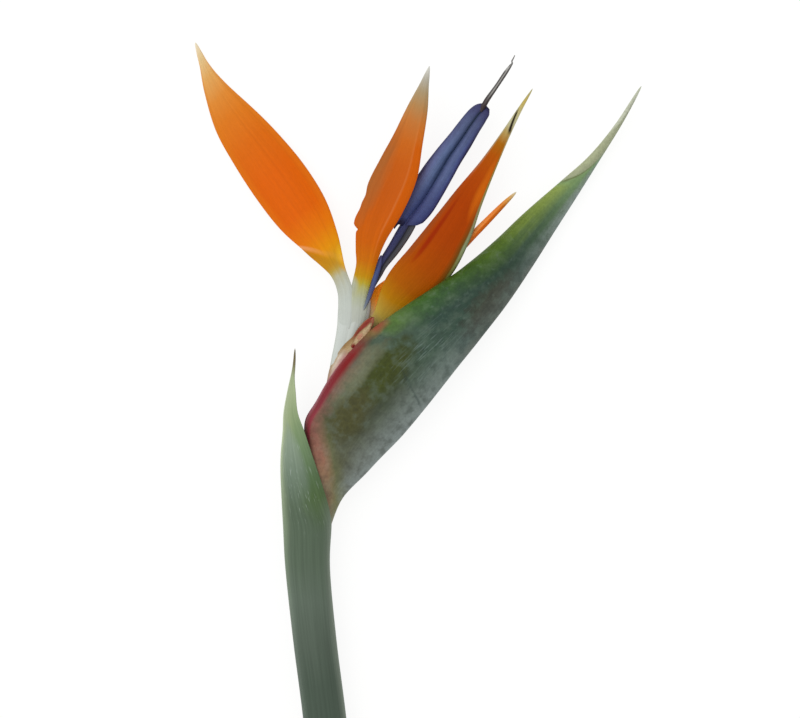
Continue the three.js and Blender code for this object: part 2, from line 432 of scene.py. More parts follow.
# %% Masks
class Masks(Sums):
    """The ways of saying where a colour goes."""

    def ramp(self, value, stops):
        """Colours or amounts at places from 0 to 1."""
        node = self.tree.nodes.new("ShaderNodeValToRGB")
        ramp = node.color_ramp
        while len(ramp.elements) < len(stops):
            ramp.elements.new(1.0)
        for element, (place, colour) in zip(ramp.elements, stops):
            element.position = place
            element.color = tint(colour) if isinstance(colour, str) else [colour] * 3 + [1]
        self.put(node.inputs[0], value)
        return node.outputs[0]

    def slope(self, value, *stops):
        """A mask that goes through pairs of a place and an amount."""
        return self.ramp(value, stops)

    def lengthwise(self, *stops):
        """A mask that changes along the piece, from base to tip."""
        return self.slope(self.along, *stops)

    def crosswise(self, *stops):
        """A mask that changes across the piece."""
        return self.slope(self.across, *stops)

    def noise(self, scale, detail=3.0, where=None, offset=(0, 0, 0)):
        """Cloudy noise from 0 to 1, with a scale for each direction of the chart."""
        aim = self.tree.nodes.new("ShaderNodeMapping")
        self.put(aim.inputs["Vector"], where or self.chart)
        aim.inputs["Scale"].default_value = scale
        aim.inputs["Location"].default_value = offset
        node = self.tree.nodes.new("ShaderNodeTexNoise")
        node.inputs["Scale"].default_value = 1.0
        node.inputs["Detail"].default_value = detail
        self.put(node.inputs["Vector"], aim.outputs[0])
        return node.outputs[0]

    def mottle(self, size, detail=3.0, offset=0.0):
        """Cloudy noise that is the same in every direction, with its size in millimetres."""
        return self.noise([1 / (size * MM)] * 3, detail, self.place, [offset] * 3)

    def shifted(self, value, cloud, amount):
        """The value with its edges made uneven by a cloud."""
        return self.plus(value, self.times(self.minus(cloud, 0.5), amount))

    def patch(self, across, along, wide, long, cloud=None, ragged=0.8):
        """A soft round mark on the chart, 1 in its middle and 0 past its edge."""
        x = self.reckon("DIVIDE", self.minus(self.across, across), wide)
        y = self.reckon("DIVIDE", self.minus(self.along, along), long)
        away = self.plus(self.times(x, x), self.times(y, y))
        if cloud:
            away = self.shifted(away, cloud, ragged)
        return self.slope(away, (0.1, 1.0), (1.0, 0.0))

    def line(self, value, place, width):
        """A fine line where the value is at the place."""
        return self.slope(self.distance(value, place), (0.3 * width, 1.0), (width, 0.0))

    def from_keel(self):
        """The share of a folded blade's width, 0 at its keel and 1 at its edges."""
        half_turn = self.times(self.distance(self.across, 0.5), math.pi)
        return self.reckon("POWER", self.reckon("SINE", half_turn), KEEL_SHARPNESS)


print("ways to make a mask:", len([name for name in vars(Masks) if not name.startswith("_")]))

# %% [markdown]
# ## Layers
#
# A ground colour covers the whole piece. Stain, blush, bloom and painted light and shade are coats
# over it, each under its mask, and clouds make the whole a little darker or lighter. The noise of
# the veins is a little relief as well, so that the light picks them out too.

# %% Layers
class Finish(Masks):
    """Lays colours over each other. The colour so far is kept in self.colour."""

    def mix(self, share, first, second, how="MIX"):
        """Two colours, the second in the given share."""
        node = self.tree.nodes.new("ShaderNodeMix")
        node.data_type = "RGBA"
        node.blend_type = how
        self.put(node.inputs["Factor"], share)
        self.put(node.inputs[6], first)
        self.put(node.inputs[7], second)
        return node.outputs[2]

    def ground(self, value, stops):
        """The first coat, which covers the whole piece."""
        self.colour = self.ramp(value, stops)

    def coat(self, share, colour):
        """Lays a colour over what is there, as thickly as the share says."""
        self.colour = self.mix(share, self.colour, colour)

    def shade(self, factor):
        """Makes the colour so far darker or lighter by a factor."""
        self.colour = self.mix(1.0, self.colour, factor, "MULTIPLY")

    def vary(self, cloud, low, high):
        """Shades the colour so far by a cloud, between two factors."""
        self.shade(self.slope(cloud, (0.3, low), (0.7, high)))

    def set(self, height, depth):
        """Joins the colour and the relief, with its depth in millimetres, to the skin."""
        self.put(self.skin.inputs["Base Color"], self.colour)
        bump = self.tree.nodes.new("ShaderNodeBump")
        bump.inputs["Strength"].default_value = 1.0
        bump.inputs["Distance"].default_value = depth * MM
        self.put(bump.inputs["Height"], height)
        self.put(self.skin.inputs["Normal"], bump.outputs[0])
        print(self.material.name, "nodes:", len(self.tree.nodes))
        return self.material


print("ways to lay a colour:", len([name for name in vars(Finish) if not name.startswith("_")]))

# %% [markdown]
# ## The stem
#
# A round, firm stalk. Only its bottom inch is bare, because the sheath wraps the rest. It was
# cut straight across, which shows the pale flesh with its darker fibres. It could be a bare
# cylinder, but a rolled grid lets it lean and swell as the stations say.

# %% Stem
STEM = [
    [3.5, 0, 7.2, 7.2], [2.8, 14, 7.4, 7.2], [2.2, 26, 8.2, 6.9], [2.1, 45, 8.2, 6.3],
    [0.4, 62, 8.2, 6.3], [-1.6, 77, 8.3, 6.4], [-3.6, 95, 8.3, 6.1], [-4.7, 107, 8.4, 6.2],
    [-4.8, 115, 8.9, 6.2],
]
CUT_SHARE = 0.06  # of the chart's length, spent on the flat cut face
TOP_SHARE = 0.02  # of the stalk's length, over which its hidden top is rounded
RIPPLE = 0.006
RIPPLES_ROUND = 9
FIBRE_SCALE = [1400] * 3  # to the metre, so the fibres are under a millimetre across
print("stem length in mm:", length_of(STEM))


def stem_surface():
    """The stalk starts with its cut face, a disc that grows from a point to the full width."""
    at = follow(STEM)

    def surface(angle, s):
        along = max(0.0, (s - CUT_SHARE) / (1 - CUT_SHARE))
        place, right, up, sizes = at(along)
        radius = sizes[0] * min(1.0, s / CUT_SHARE)
        top = max(0.0, 1 - (1 - along) / TOP_SHARE)
        radius *= math.sqrt(max(0.0, 1 - top ** 2))
        waves = RIPPLE * math.sin(RIPPLES_ROUND * angle + 3 * along)
        ripple = 1 + waves * step_up(s, 0.04, 0.08)
        return place + (right * math.sin(angle) + up * math.cos(angle)) * radius * ripple

    return surface


def stem_skin():
    finish = Finish("stem_skin", 0.45)
    streaks = finish.noise((46, 5, 1), 4)
    patches = finish.noise((3, 9, 1), 3, offset=(4, 0, 0))
    finish.ground(finish.shifted(finish.across, patches, 0.2), [
        (0.0, "44503f"), (0.3, "5f6f58"), (0.55, "566553"), (1.0, "44503f")])
    finish.vary(streaks, 0.86, 1.1)
    cut = finish.lengthwise((CUT_SHARE - 0.002, 1.0), (CUT_SHARE, 0.0))
    fibres = finish.noise(FIBRE_SCALE, 1, where=finish.place)
    flesh = finish.ramp(fibres, [(0.0, "8d9a5a"), (0.42, "b9c48e"), (0.55, "d6dcb4")])
    rim = finish.lengthwise((0.8 * CUT_SHARE, 0.0), (0.98 * CUT_SHARE, 1.0))
    flesh = finish.mix(rim, flesh, "7d8c55")
    finish.coat(cut, flesh)
    return finish.set(streaks, 0.12)


roll_stalk("stem_stalk", stem_surface(), (48, 160), [stem_skin()], "stem")

# %% [markdown]
# ## The sheath
#
# The sheath is a leaf without a blade, rolled round the stalk with its edges meeting on one
# side. Above, where the spathe pushes out of it, the edges part and draw off to a point that
# dries brown. It is one grid, rolled: u goes round it from edge to edge, and s along it. The
# half angle in each station says how far round it still reaches.

# %% Sheath shape
SHEATH = [
    [2.2, 27, 8.3, 7.8, 7.8, 176], [2.2, 45, 8.1, 7.5, 7.6, 176], [-1.7, 77, 8.3, 7.5, 7.8, 176],
    [-4.3, 103, 8.3, 7.75, 7.9, 176], [-4.4, 118, 9.2, 8.5, 8.7, 170],
    [-4.2, 124, 9.9, 9.0, 9.3, 150], [-4.25, 130, 10.4, 9.25, 9.9, 134],
    [-4.8, 138, 10.8, 9.0, 10.2, 120], [-5, 145, 10.9, 8.7, 10.2, 106],
    [-5, 153, 11, 8.0, 9.6, 88], [-4.9, 160, 11.2, 7.75, 8.4, 68],
    [-4.7, 168, 11.4, 6.5, 6.4, 52], [-5.2, 176, 11.4, 4.3, 4.2, 29], [-7.2, 183, 11.4, 1.8, 1.4, 20],
]
SHEATH_WALL = 1.0
SHEATH_POINT = 0.1  # the share of its length over which it closes to its tip
FRONT_TRIM = 0.08  # how much less far round the front edge reaches, where the sheath opens
RIB_HEIGHT = 0.004
RIBS_ROUND = 26
print("sheath length in mm:", length_of(SHEATH))


def sheath_surface():
    at = follow(SHEATH)

    def surface(u, s):
        place, _, _, (wide, high, half_angle) = at(s)
        angle = math.radians(half_angle * u * to_a_point(s, SHEATH_POINT))
        if u < 0:
            angle *= 1 - FRONT_TRIM * step_up(s, 0.6, 0.7)
        rib = 1 + RIB_HEIGHT * math.sin(RIBS_ROUND * u + 1.5 * math.sin(7 * s))
        return place + np.array([-wide * math.cos(angle), 0, high * math.sin(angle)]) * rib

    return surface

# %% [markdown]
# ## The sheath's finish
#
# Low down it is a dull grey green, a little lighter along its back. It freshens to yellow green
# where it opens, with a pale back and a darker front edge, and carries a thin wax that
# rubs off in small marks. The last of the tip is dry and olive brown. The pale back is partly
# its own colour and partly painted light. The back line and the low edges where its two sides
# meet are lightened further with painted light, because they turn edge-on and come out dim.

# %% Sheath finish
def sheath_skin():
    finish = Finish("sheath_skin", 0.5)
    streaks = finish.noise((60, 5, 1), 4)
    cloud = finish.noise((9, 7, 1), 3, offset=(2, 1, 0))
    side = finish.distance(finish.across, 0.5)
    finish.across = finish.shifted(finish.times(side, 2.0), cloud, 0.1)
    along = finish.shifted(finish.along, cloud, 0.06)
    finish.ground(along, [
        (0.0, "48554a"), (0.22, "4a574b"), (0.32, "535f53"), (0.42, "5c695c"), (0.5, "576655"),
        (0.62, "576754"), (0.69, "62735c"), (0.76, "7f8f73"), (0.83, "94a37c"), (0.9, "a0ae86")])
    reach = finish.minus(finish.across, finish.times(finish.along, 0.7))
    # Partly the sheath's own paler back and partly painted light, lifting the back line that turns
    # edge-on.
    pale_and_lit_back = finish.slope(finish.plus(reach, 0.5), (0.0, 1.0), (0.4, 0.0))
    pale_tone_and_light = finish.ramp(along, [
        (0.1, "5f6b5c"), (0.3, "6f7b6b"), (0.5, "75836a"), (0.65, "8c9a7a"), (0.78, "a3b08d"),
        (0.9, "abb592")])
    finish.coat(pale_and_lit_back, pale_tone_and_light)
    front = finish.both(finish.crosswise((0.5, 0.0), (0.75, 0.85)),
                        finish.slope(along, (0.58, 0.0), (0.66, 1.0), (0.82, 0.9), (0.9, 0.0)))
    finish.coat(front, finish.ramp(along, [
        (0.66, "4e653b"), (0.72, "546d48"), (0.78, "66805a"), (0.84, "7b9168")]))
    finish.coat(finish.patch(0.5, 0.73, 0.34, 0.1, cloud), finish.ramp(along, [
        (0.64, "5f6f60"), (0.7, "6c7d6b"), (0.78, "869683")]))
    rubbed = finish.noise((90, 34, 1), 2, offset=(6, 3, 0))
    marks = finish.both(finish.slope(rubbed, (0.62, 0.0), (0.72, 0.5)),
                        finish.patch(0.55, 0.7, 0.5, 0.14))
    finish.coat(marks, "b4c0b8")
    dry = finish.slope(finish.shifted(finish.along, streaks, 0.03), (0.93, 0.0), (0.965, 1.0))
    finish.coat(dry, "7a7050")
    # Painted rim light: the back line is brightened by up to a third, where the side turns edge-on.
    rim = finish.slope(side, (0.02, 1.36), (0.08, 1.24), (0.14, 1.0))
    finish.shade(rim)
    # Painted light on the low edges where the two sides meet, which turn edge-on and would come out
    # dim.
    painted_edge_light = finish.both(finish.slope(side, (0.38, 0.0), (0.46, 0.6)),
                          finish.lengthwise((0.58, 1.0), (0.66, 0.0)))
    finish.coat(painted_edge_light, "7a8676")
    finish.vary(streaks, 0.88, 1.1)
    return finish.set(streaks, 0.1)


lay_sheet("sheath_bract", sheath_surface(), (96, 220), SHEATH_WALL, lens_share, [sheath_skin()],
          "sheath")

# %% [markdown]
# ## The spathe
#
# The spathe is one long leaf folded along its keel into a boat that ends in a beak. Its
# two edges press together along the beak and part at the mouth, where the flowers come out.
# So u runs from the far edge over the keel to the near edge. A half height, a half beam and a
# half gap between the edges describe each station. At the mouth the near edge rolls outwards
# a little, which shows as a hem.

# %% Spathe shape
SPATHE = [
    [-4, 117, 9, 6, 5.4, 0.4], [0, 132.5, 10.4, 8.2, 6.7, 0.6], [6.8, 146, 11, 12.3, 7.7, 1.2],
    [14.7, 159.5, 11.4, 15.8, 8.6, 3.4], [24.8, 172.3, 11.8, 16.3, 8.9, 5.1],
    [35.7, 184, 11.2, 15.1, 8.4, 5], [47, 194.3, 10, 12.8, 7.6, 4],
    [58.4, 204.7, 8.4, 10.1, 6.6, 2.4], [68.7, 216, 6.8, 7.9, 5.3, 1.2],
    [79, 228.5, 5.5, 5.9, 4.1, 0.9], [89.3, 240.3, 4.7, 3.6, 3, 0.8],
    [98.9, 251.6, 4.6, 1.5, 1.8, 0.6], [107.8, 264, 5.1, 0.6, 1, 0.4],
    [116.1, 277.9, 6.2, 0.3, 0.4, 0.2],
]
SPATHE_WALL = 1.5
SHOULDER = 0.25  # how much fuller the boat is near its keel than near its edges
HEM_REACH = 0.16
HEM_PLACE = 0.172
HEM_LENGTH = 0.028
print("spathe length in mm:", length_of(SPATHE))


def boat(u, s, sizes):
    """A folded section. The reach says how far up its edges come, and dips along the mouth."""
    half, beam, gap = sizes
    reach = 2.0 - 0.07 * step_up(s, 0.34, 0.42) + 0.04 * step_up(s, 0.5, 0.56)
    reach -= 0.02 * step_up(s, 0.66, 0.71)
    if u > 0:
        reach += HEM_REACH * hump(s, HEM_PLACE, HEM_LENGTH)
    else:
        reach -= 0.03 * step_up(s, 0.34, 0.42)
    side = math.sin(math.pi * u) * (1 - SHOULDER * math.cos(math.pi * u))
    height = half * (1 - reach * math.sin(math.pi * abs(u) / 2) ** KEEL_SHARPNESS)
    return height, beam * side + gap * u * abs(u)

# %% [markdown]
# ## The spathe's ground
#
# The spathe's finish is built up in layers, as the leaf's own colours lie. Each layer is a
# small function of its own, because the whole would be too long to follow. The ground comes
# first. It is a deep green that freshens along the upper edge and dries to straw at the beak,
# with darker clouds and olive brown stains in the belly.

# %% Spathe ground
def spathe_ground(finish, along, blotch, spots):
    finish.ground(along, [
        (0.0, "646650"), (0.14, "5c5f4c"), (0.22, "4b5242"), (0.31, "434d39"), (0.4, "465a4c"),
        (0.48, "374c40"), (0.57, "32443a"), (0.63, "3a4e40"), (0.7, "4c6448"), (0.79, "66805a"),
        (0.858, "7c9a68"), (0.874, "9ca282"), (0.91, "a6ac88"), (0.95, "a6ab8a"), (0.98, "a8ad90"),
        (1.0, "c2c6b0")])
    dark = finish.slope(blotch, (0.42, 0.0), (0.64, 0.6))
    finish.coat(finish.both(dark, finish.lengthwise((0.6, 1.0), (0.75, 0.0))), finish.ramp(along, [
        (0.2, "4a4c34"), (0.34, "465848"), (0.45, "2f463e"), (0.6, "2e4434")]))
    fresh = finish.ramp(along, [
        (0.38, "4c6a26"), (0.45, "386018"), (0.54, "3c5a1c"), (0.62, "4c6620"), (0.7, "6e8236"),
        (0.84, "86984e")])
    narrow = finish.lengthwise((0.4, 0.2), (0.5, 0.16), (0.6, 0.0))
    edge = finish.slope(finish.minus(finish.across, narrow), (0.46, 0.0), (0.82, 1.0))
    stretch = finish.slope(along, (0.36, 0.0), (0.42, 1.0), (0.83, 1.0), (0.865, 0.0))
    finish.coat(finish.both(edge, stretch), fresh)
    finish.coat(finish.patch(0.6, 0.31, 0.24, 0.08, spots, 2.2), "434b20")
    finish.coat(finish.patch(0.62, 0.22, 0.26, 0.07, spots, 2.4), "4e4e2e")
    finish.coat(finish.patch(0.25, 0.53, 0.26, 0.08, spots, 2.0), "42463a")
    finish.coat(finish.patch(0.8, 0.28, 0.12, 0.08, spots, 1.4), "6b6f56")


print("spathe ground: three ramps and four stains")

# %% [markdown]
# ## The spathe's wax, sheen and blush
#
# A grey bloom lies along the keel. It is partly wax and partly painted sheen, the bright room
# mirrored where the keel turns away. It is rubbed thin in the middle, where the skin is brown
# under it. Towards the mouth the green turns to a dull rose. Each is one colour under a
# mask that is full only where a place across and a place along meet.

# %% Spathe wax and sheen
def spathe_wax_and_sheen(finish, along, spots):
    # Partly wax bloom and partly painted sheen along the keel.
    bloom_and_sheen = finish.crosswise((0.0, 0.9), (0.13, 0.6), (0.36, 0.0))
    worn = finish.slope(along, (0.08, 1.0), (0.3, 1.0), (0.42, 0.6), (0.5, 0.3), (0.58, 0.3),
                        (0.68, 0.8), (0.75, 1.0), (0.84, 1.0), (0.87, 0.2))
    bloom_and_sheen = finish.both(bloom_and_sheen, finish.slope(spots, (0.36, 0.6), (0.6, 1.0)))
    finish.coat(finish.both(bloom_and_sheen, worn), "8b9594")
    brown = finish.both(finish.crosswise((0.02, 0.7), (0.14, 0.0)),
                        finish.lengthwise((0.4, 0.0), (0.46, 1.0), (0.66, 1.0), (0.72, 0.0)))
    finish.coat(finish.both(brown, finish.slope(spots, (0.4, 0.3), (0.55, 1.0))), "5a5e56")
    finish.coat(finish.patch(0.95, 0.385, 0.2, 0.035, spots), "527036")
    blush = finish.both(finish.crosswise((0.78, 0.0), (0.94, 0.9)),
                        finish.slope(along, (0.26, 1.0), (0.33, 0.0)))
    finish.coat(blush, "86584e")
    finish.coat(finish.patch(1.0, 0.355, 0.1, 0.035, spots, 1.2), "7a6a3c")


print("spathe wax: bloom, rubbed brown and blush")

# %% [markdown]
# ## The spathe's foot
#
# Where the boat is joined to the stalk its skin is rust-coloured, and past that a dull rose
# spreads over its sides. The edge of the rose runs at a slant, so it starts further across the
# further along it is. A straight mask could not follow that.

# %% Spathe foot
def spathe_foot(finish, fold, spots, uneven):
    foot = finish.minus(finish.along, finish.times(fold, 0.12))
    foot = finish.shifted(foot, uneven, 0.05)
    rust = finish.ramp(fold, [(0.05, "7d7a62"), (0.25, "8f7152"), (0.6, "a0624e"), (1.0, "8c5452")])
    finish.coat(finish.slope(foot, (0.05, 1.0), (0.1, 0.0)), "72744c")
    finish.coat(finish.slope(foot, (0.03, 1.0), (0.06, 0.0)), rust)
    start = finish.lengthwise((0.08, 0.12), (0.1, 0.24), (0.12, 0.38), (0.14, 0.52), (0.17, 0.66),
                              (0.2, 0.82), (0.24, 1.0))
    rose = finish.minus(finish.shifted(fold, spots, 0.1), start)
    finish.coat(finish.slope(rose, (0.0, 0.0), (0.2, 0.9)), finish.ramp(finish.along, [
        (0.09, "82725a"), (0.11, "8e6e56"), (0.13, "966856"), (0.155, "8c5c50"), (0.18, "8a544e")]))


print("spathe foot: rust and rose")

# %% [markdown]
# ## The spathe's scuffs
#
# The flower has been handled. Short pale scratches lie along its ribs, there is one dark
# crease across the belly, and the wax is rubbed through in spots. Noise drawn out along the
# blade gives the scratches, and round noise gives the spots.

# %% Spathe scuffs
def spathe_scuffs(finish, spots):
    dashes = finish.noise((170, 30, 1), 2, offset=(3, 7, 0))
    rubbed = finish.both(finish.slope(dashes, (0.54, 0.0), (0.7, 0.38)),
                         finish.patch(0.4, 0.4, 0.3, 0.1, spots, 1.8))
    finish.coat(rubbed, "8b9c97")
    flecks = finish.mottle(2.2, 2, 0.9)
    flecks = finish.both(finish.slope(flecks, (0.6, 0.0), (0.75, 0.2)),
                         finish.lengthwise((0.36, 0.0), (0.44, 1.0), (0.62, 1.0), (0.7, 0.0)))
    finish.coat(flecks, "76867c")
    crease = finish.minus(finish.along, finish.times(finish.across, 0.07))
    crease = finish.both(finish.line(crease, 0.305, 0.004),
                         finish.crosswise((0.02, 0.0), (0.1, 0.5), (0.4, 0.35), (0.5, 0.0)))
    finish.coat(crease, "2f3f3b")
    low_down = finish.lengthwise((0.5, 1.0), (0.75, 0.2))
    finish.coat(finish.both(low_down, finish.slope(spots, (0.36, 0.2), (0.5, 0.0))), "20282a")
    finish.coat(finish.both(low_down, finish.slope(spots, (0.5, 0.0), (0.66, 0.14))), "7f8c7c")


print("spathe scuffs: scratches, flecks, a crease and worn spots")

# %% [markdown]
# ## The spathe's mouth
#
# The edge of the mouth is dull pink, with a crimson line a little way in from it that ends in
# a small hook. Both follow the edge, so their masks are read from the fold. That is the share
# of the width, 0 at the keel and 1 at the edge.

# %% Spathe mouth
def spathe_mouth(finish, fold):
    hem = finish.minus(fold, finish.times(finish.along, 0.2))
    mouth = finish.lengthwise((0.1, 1.0), (0.3, 1.0), (0.35, 0.0))
    lip = finish.ramp(hem, [(0.93, "a86070"), (0.96, "8e4854")])
    finish.coat(finish.both(finish.slope(hem, (0.92, 0.0), (0.935, 1.0)), mouth), lip)
    crimson = finish.ramp(finish.along, [
        (0.18, "923c46"), (0.21, "80303a"), (0.28, "7a181a"), (0.33, "7e1c1c")])
    width = finish.lengthwise((0.2, 0.04), (0.27, 0.075))
    band = finish.distance(hem, 0.9)
    band = finish.slope(finish.reckon("DIVIDE", band, width), (0.3, 1.0), (1.0, 0.0))
    finish.coat(finish.both(band, mouth), crimson)
    hook = finish.both(finish.slope(fold, (0.9, 0.0), (0.97, 0.9)),
                       finish.lengthwise((0.345, 0.0), (0.355, 1.0), (0.366, 0.8), (0.384, 0.0)))
    finish.coat(hook, "964a38")


print("spathe mouth: lip, crimson line and hook")

# %% [markdown]
# ## The spathe's skin
#
# The layers are laid in the order in which they cover each other. Their edges are made uneven
# by the same clouds, so that they look grown together. The inside is the same skin, paler.

# %% Spathe
def spathe_skin(name, inside):
    finish = Finish(name, 0.45, specular=0.12)
    blotch = finish.mottle(11, 4)
    spots = finish.mottle(3.4, 4, 0.3)
    grain = finish.mottle(1.1, 3, 0.7)
    ribs = finish.noise((130, 5, 1), 3)
    fibres = finish.noise((34, 7, 1), 4, offset=(4, 1, 0))
    fold = finish.from_keel()
    uneven = finish.times(finish.plus(blotch, spots), 0.5)
    uneven = finish.mix(finish.lengthwise((0.5, 0.0), (0.65, 1.0)), uneven, fibres)
    finish.across = finish.shifted(fold, uneven, 0.24)
    wither = finish.plus(finish.along, finish.times(fold, 0.097))
    along = finish.mix(finish.lengthwise((0.7, 0.0), (0.78, 1.0)),
                       finish.shifted(finish.along, uneven, 0.08), wither)
    spathe_ground(finish, along, blotch, spots)
    spathe_wax_and_sheen(finish, along, spots)
    spathe_foot(finish, fold, spots, uneven)
    spathe_scuffs(finish, spots)
    finish.vary(ribs, 0.94, 1.06)
    finish.vary(grain, 0.9, 1.1)
    split = finish.both(finish.line(wither, 0.866, 0.005),
                        finish.crosswise((0.2, 0.2), (0.5, 0.7), (0.9, 0.9), (0.98, 0.0)))
    finish.coat(split, "56602a")
    spathe_mouth(finish, fold)
    if inside:
        finish.coat(0.65, "b7b48c")
    return finish.set(finish.plus(ribs, finish.times(spots, 0.6)), 0.12)


lay_sheet("spathe_boat", lofted(SPATHE, boat, wander=0.35), (128, 280), SPATHE_WALL, wall_share,
          [spathe_skin("spathe_outside", False), spathe_skin("spathe_inside", True)], "spathe",
          folded=True, thin=0.3)

# %% [markdown]
# ## The white base of the open flower
#
# The sepals and petals grow out of one waxy, greenish white column that rises from the bottom
# of the boat. It is a rolled grid with a few shallow flutes, flattened at the top, where
# the claws of the sepals spread out of it.

# %% Flower base
COLUMN_HALF = 5.9  # half its width and its height above the middle, where the claws leave it
COLUMN_RISE = 3.0
FLOWER_BASE = [
    [-5.8, 117.4, 9.2, 2, 2.2], [-2, 128, 9.8, 2.6, 2.6], [1.6, 140, 10.6, 3.1, 3],
    [4.2, 152, 11.2, 3.7, 3.2], [5.6, 164, 11.6, 4.1, 3.3], [6.9, 171, 11.7, 4.2, 3.4],
    [8.1, 177.5, 11.7, 4.3, 3.4], [9.6, 184, 11.7, 4.5, 3.4], [11.1, 190, 11.7, 5.1, 3.3],
    [12.2, 196, 11.6, 5.8, 3.1], [12.6, 201, 11.5, 5.6, 2.3], [12.6, 204, 11.4, 4.4, 1.3],
    [12.4, 206, 11.3, 2.6, 0.6],
]
print("flower base length in mm:", length_of(FLOWER_BASE))


def beside_column(place, middle):
    """How far the column's round surface lies below where a claw's middle crosses it."""
    rise = [math.sqrt(max(0.04, 1 - (p / COLUMN_HALF) ** 2)) for p in (middle, middle + place)]
    return COLUMN_RISE * (rise[1] - rise[0])


def flutes(angle, s):
    """Shallow grooves that run up the column and deepen towards its top."""
    return -0.07 * step_up(s, 0.6, 0.9) * (hump(angle, -0.1, 0.16) + 0.6 * hump(angle, 0.75, 0.2))


def base_skin():
    finish = Finish("flower_base_skin", 0.42, specular=0.2)
    ribs = finish.noise((16, 2.2, 1), 3)
    streaks = finish.noise((60, 8, 1), 3)
    # Lightest left of the top, greying to lilac on the right: partly the column's own colour and
    # partly painted shade away from the lamp.
    finish.ground(finish.across, [
        (0.2, "babfb4"), (0.36, "c8cec8"), (0.5, "c4cac3"), (0.62, "bcbeb6"), (0.72, "b6b3ae"),
        (0.8, "b8a69a")])
    finish.coat(finish.lengthwise((0.5, 1.0), (0.68, 0.0)), "b98c80")
    finish.vary(ribs, 0.92, 1.05)
    finish.vary(streaks, 0.96, 1.03)
    return finish.set(ribs, 0.4)


roll_stalk("flower_base_column", round_section(FLOWER_BASE, 0.02, flutes), (72, 160), [base_skin()],
           "flower_base")

# %% [markdown]
# ## The left sepal
#
# The widest sepal leans well away from the boat, and shows its smooth inner face. It is a
# blade that narrows to a white claw, which sinks into the white column. A crease near its base
# turns the lower edge down. The crease is a small ridge in the section's formula, and the
# flank below it drops away.

# %% Left sepal shape
SEPAL_WALL = 1.1
SEPAL_LEFT = [
    [9.2, 190, 14, 2.2], [9.5, 197, 14.2, 2.8], [9, 204, 14, 2.7], [6.2, 211.2, 13.1, 3.1],
    [0.5, 221.2, 10.8, 6.7], [-6.5, 231.8, 8.5, 9.8], [-14.5, 243.3, 6.6, 10.6],
    [-23, 254.8, 4.9, 9.8], [-31.3, 266, 3.1, 7.9], [-38.3, 277.4, 1.4, 4.3],
    [-42.4, 286.1, 1, 1.7], [-45.6, 294.2, 1, 0.5],
]
CREASE = [(0.0, 0.296), (0.36, 0.242), (1.0, 0.195)]  # where it lies along, for a place across
CREASE_HEIGHT = 0.3
CREASE_WIDTH = 0.008
FLANK_DROP = 1.5
CUP = 0.13  # how far the edges of the blade turn down, as a share of its half width
EDGE_WAVE = 0.25
CLAW_GROOVE = 0.25
CLAW_ENDS = (0.1, 0.24)  # where along a sepal its claw turns into its blade
print("left sepal length in mm:", length_of(SEPAL_LEFT))


def left_crease(u, s):
    """How far below the crease a place is: the crease slants from the left edge to the right."""
    return np.interp((u + 1) / 2, *zip(*CREASE)) - s


def left_section(u, s, sizes):
    half = sizes[0]
    claw = 1 - step_up(s, *CLAW_ENDS)
    below = left_crease(u, s)
    flank = step_up(below, 0.0, 0.05) * step_up(s, 0.16, 0.2) * (1 - u) / 2
    ridge = CREASE_HEIGHT * hump(below, 0.0, CREASE_WIDTH) * (1 - claw)
    wave = EDGE_WAVE * math.sin(21 * s + 2) * u * u * (1 - claw)
    blade = -CUP * half * u * u - FLANK_DROP * flank + ridge + wave
    groove = -CLAW_GROOVE * step_up(u, 0.6, 1.0)
    return half * u, blade * (1 - claw) + (beside_column(half * u, -3.0) + groove) * claw

# %% [markdown]
# ## A sepal's finish
#
# Colour runs from the claw's white through yellow green and gold to deep orange, and fades to
# straw at the tip. Fine parallel veins run the whole way, with a few broader streaks among
# them. All the sepals share this way of mixing, and differ in their colours.

# %% Left sepal finish
def veined(finish, offset):
    """Fine parallel veins and broader streaks over a colour, and the relief of the veins."""
    veins = finish.noise((85, 2.0, 1), 3, offset=(offset, 0, 0))
    broad = finish.noise((13, 1.4, 1), 2, offset=(0, offset, 0))
    mottle = finish.noise((26, 60, 1), 3, offset=(offset, offset, 0))
    finish.vary(veins, 0.955, 1.04)
    finish.vary(broad, 0.95, 1.04)
    finish.vary(mottle, 0.97, 1.025)
    return finish.set(veins, 0.1)


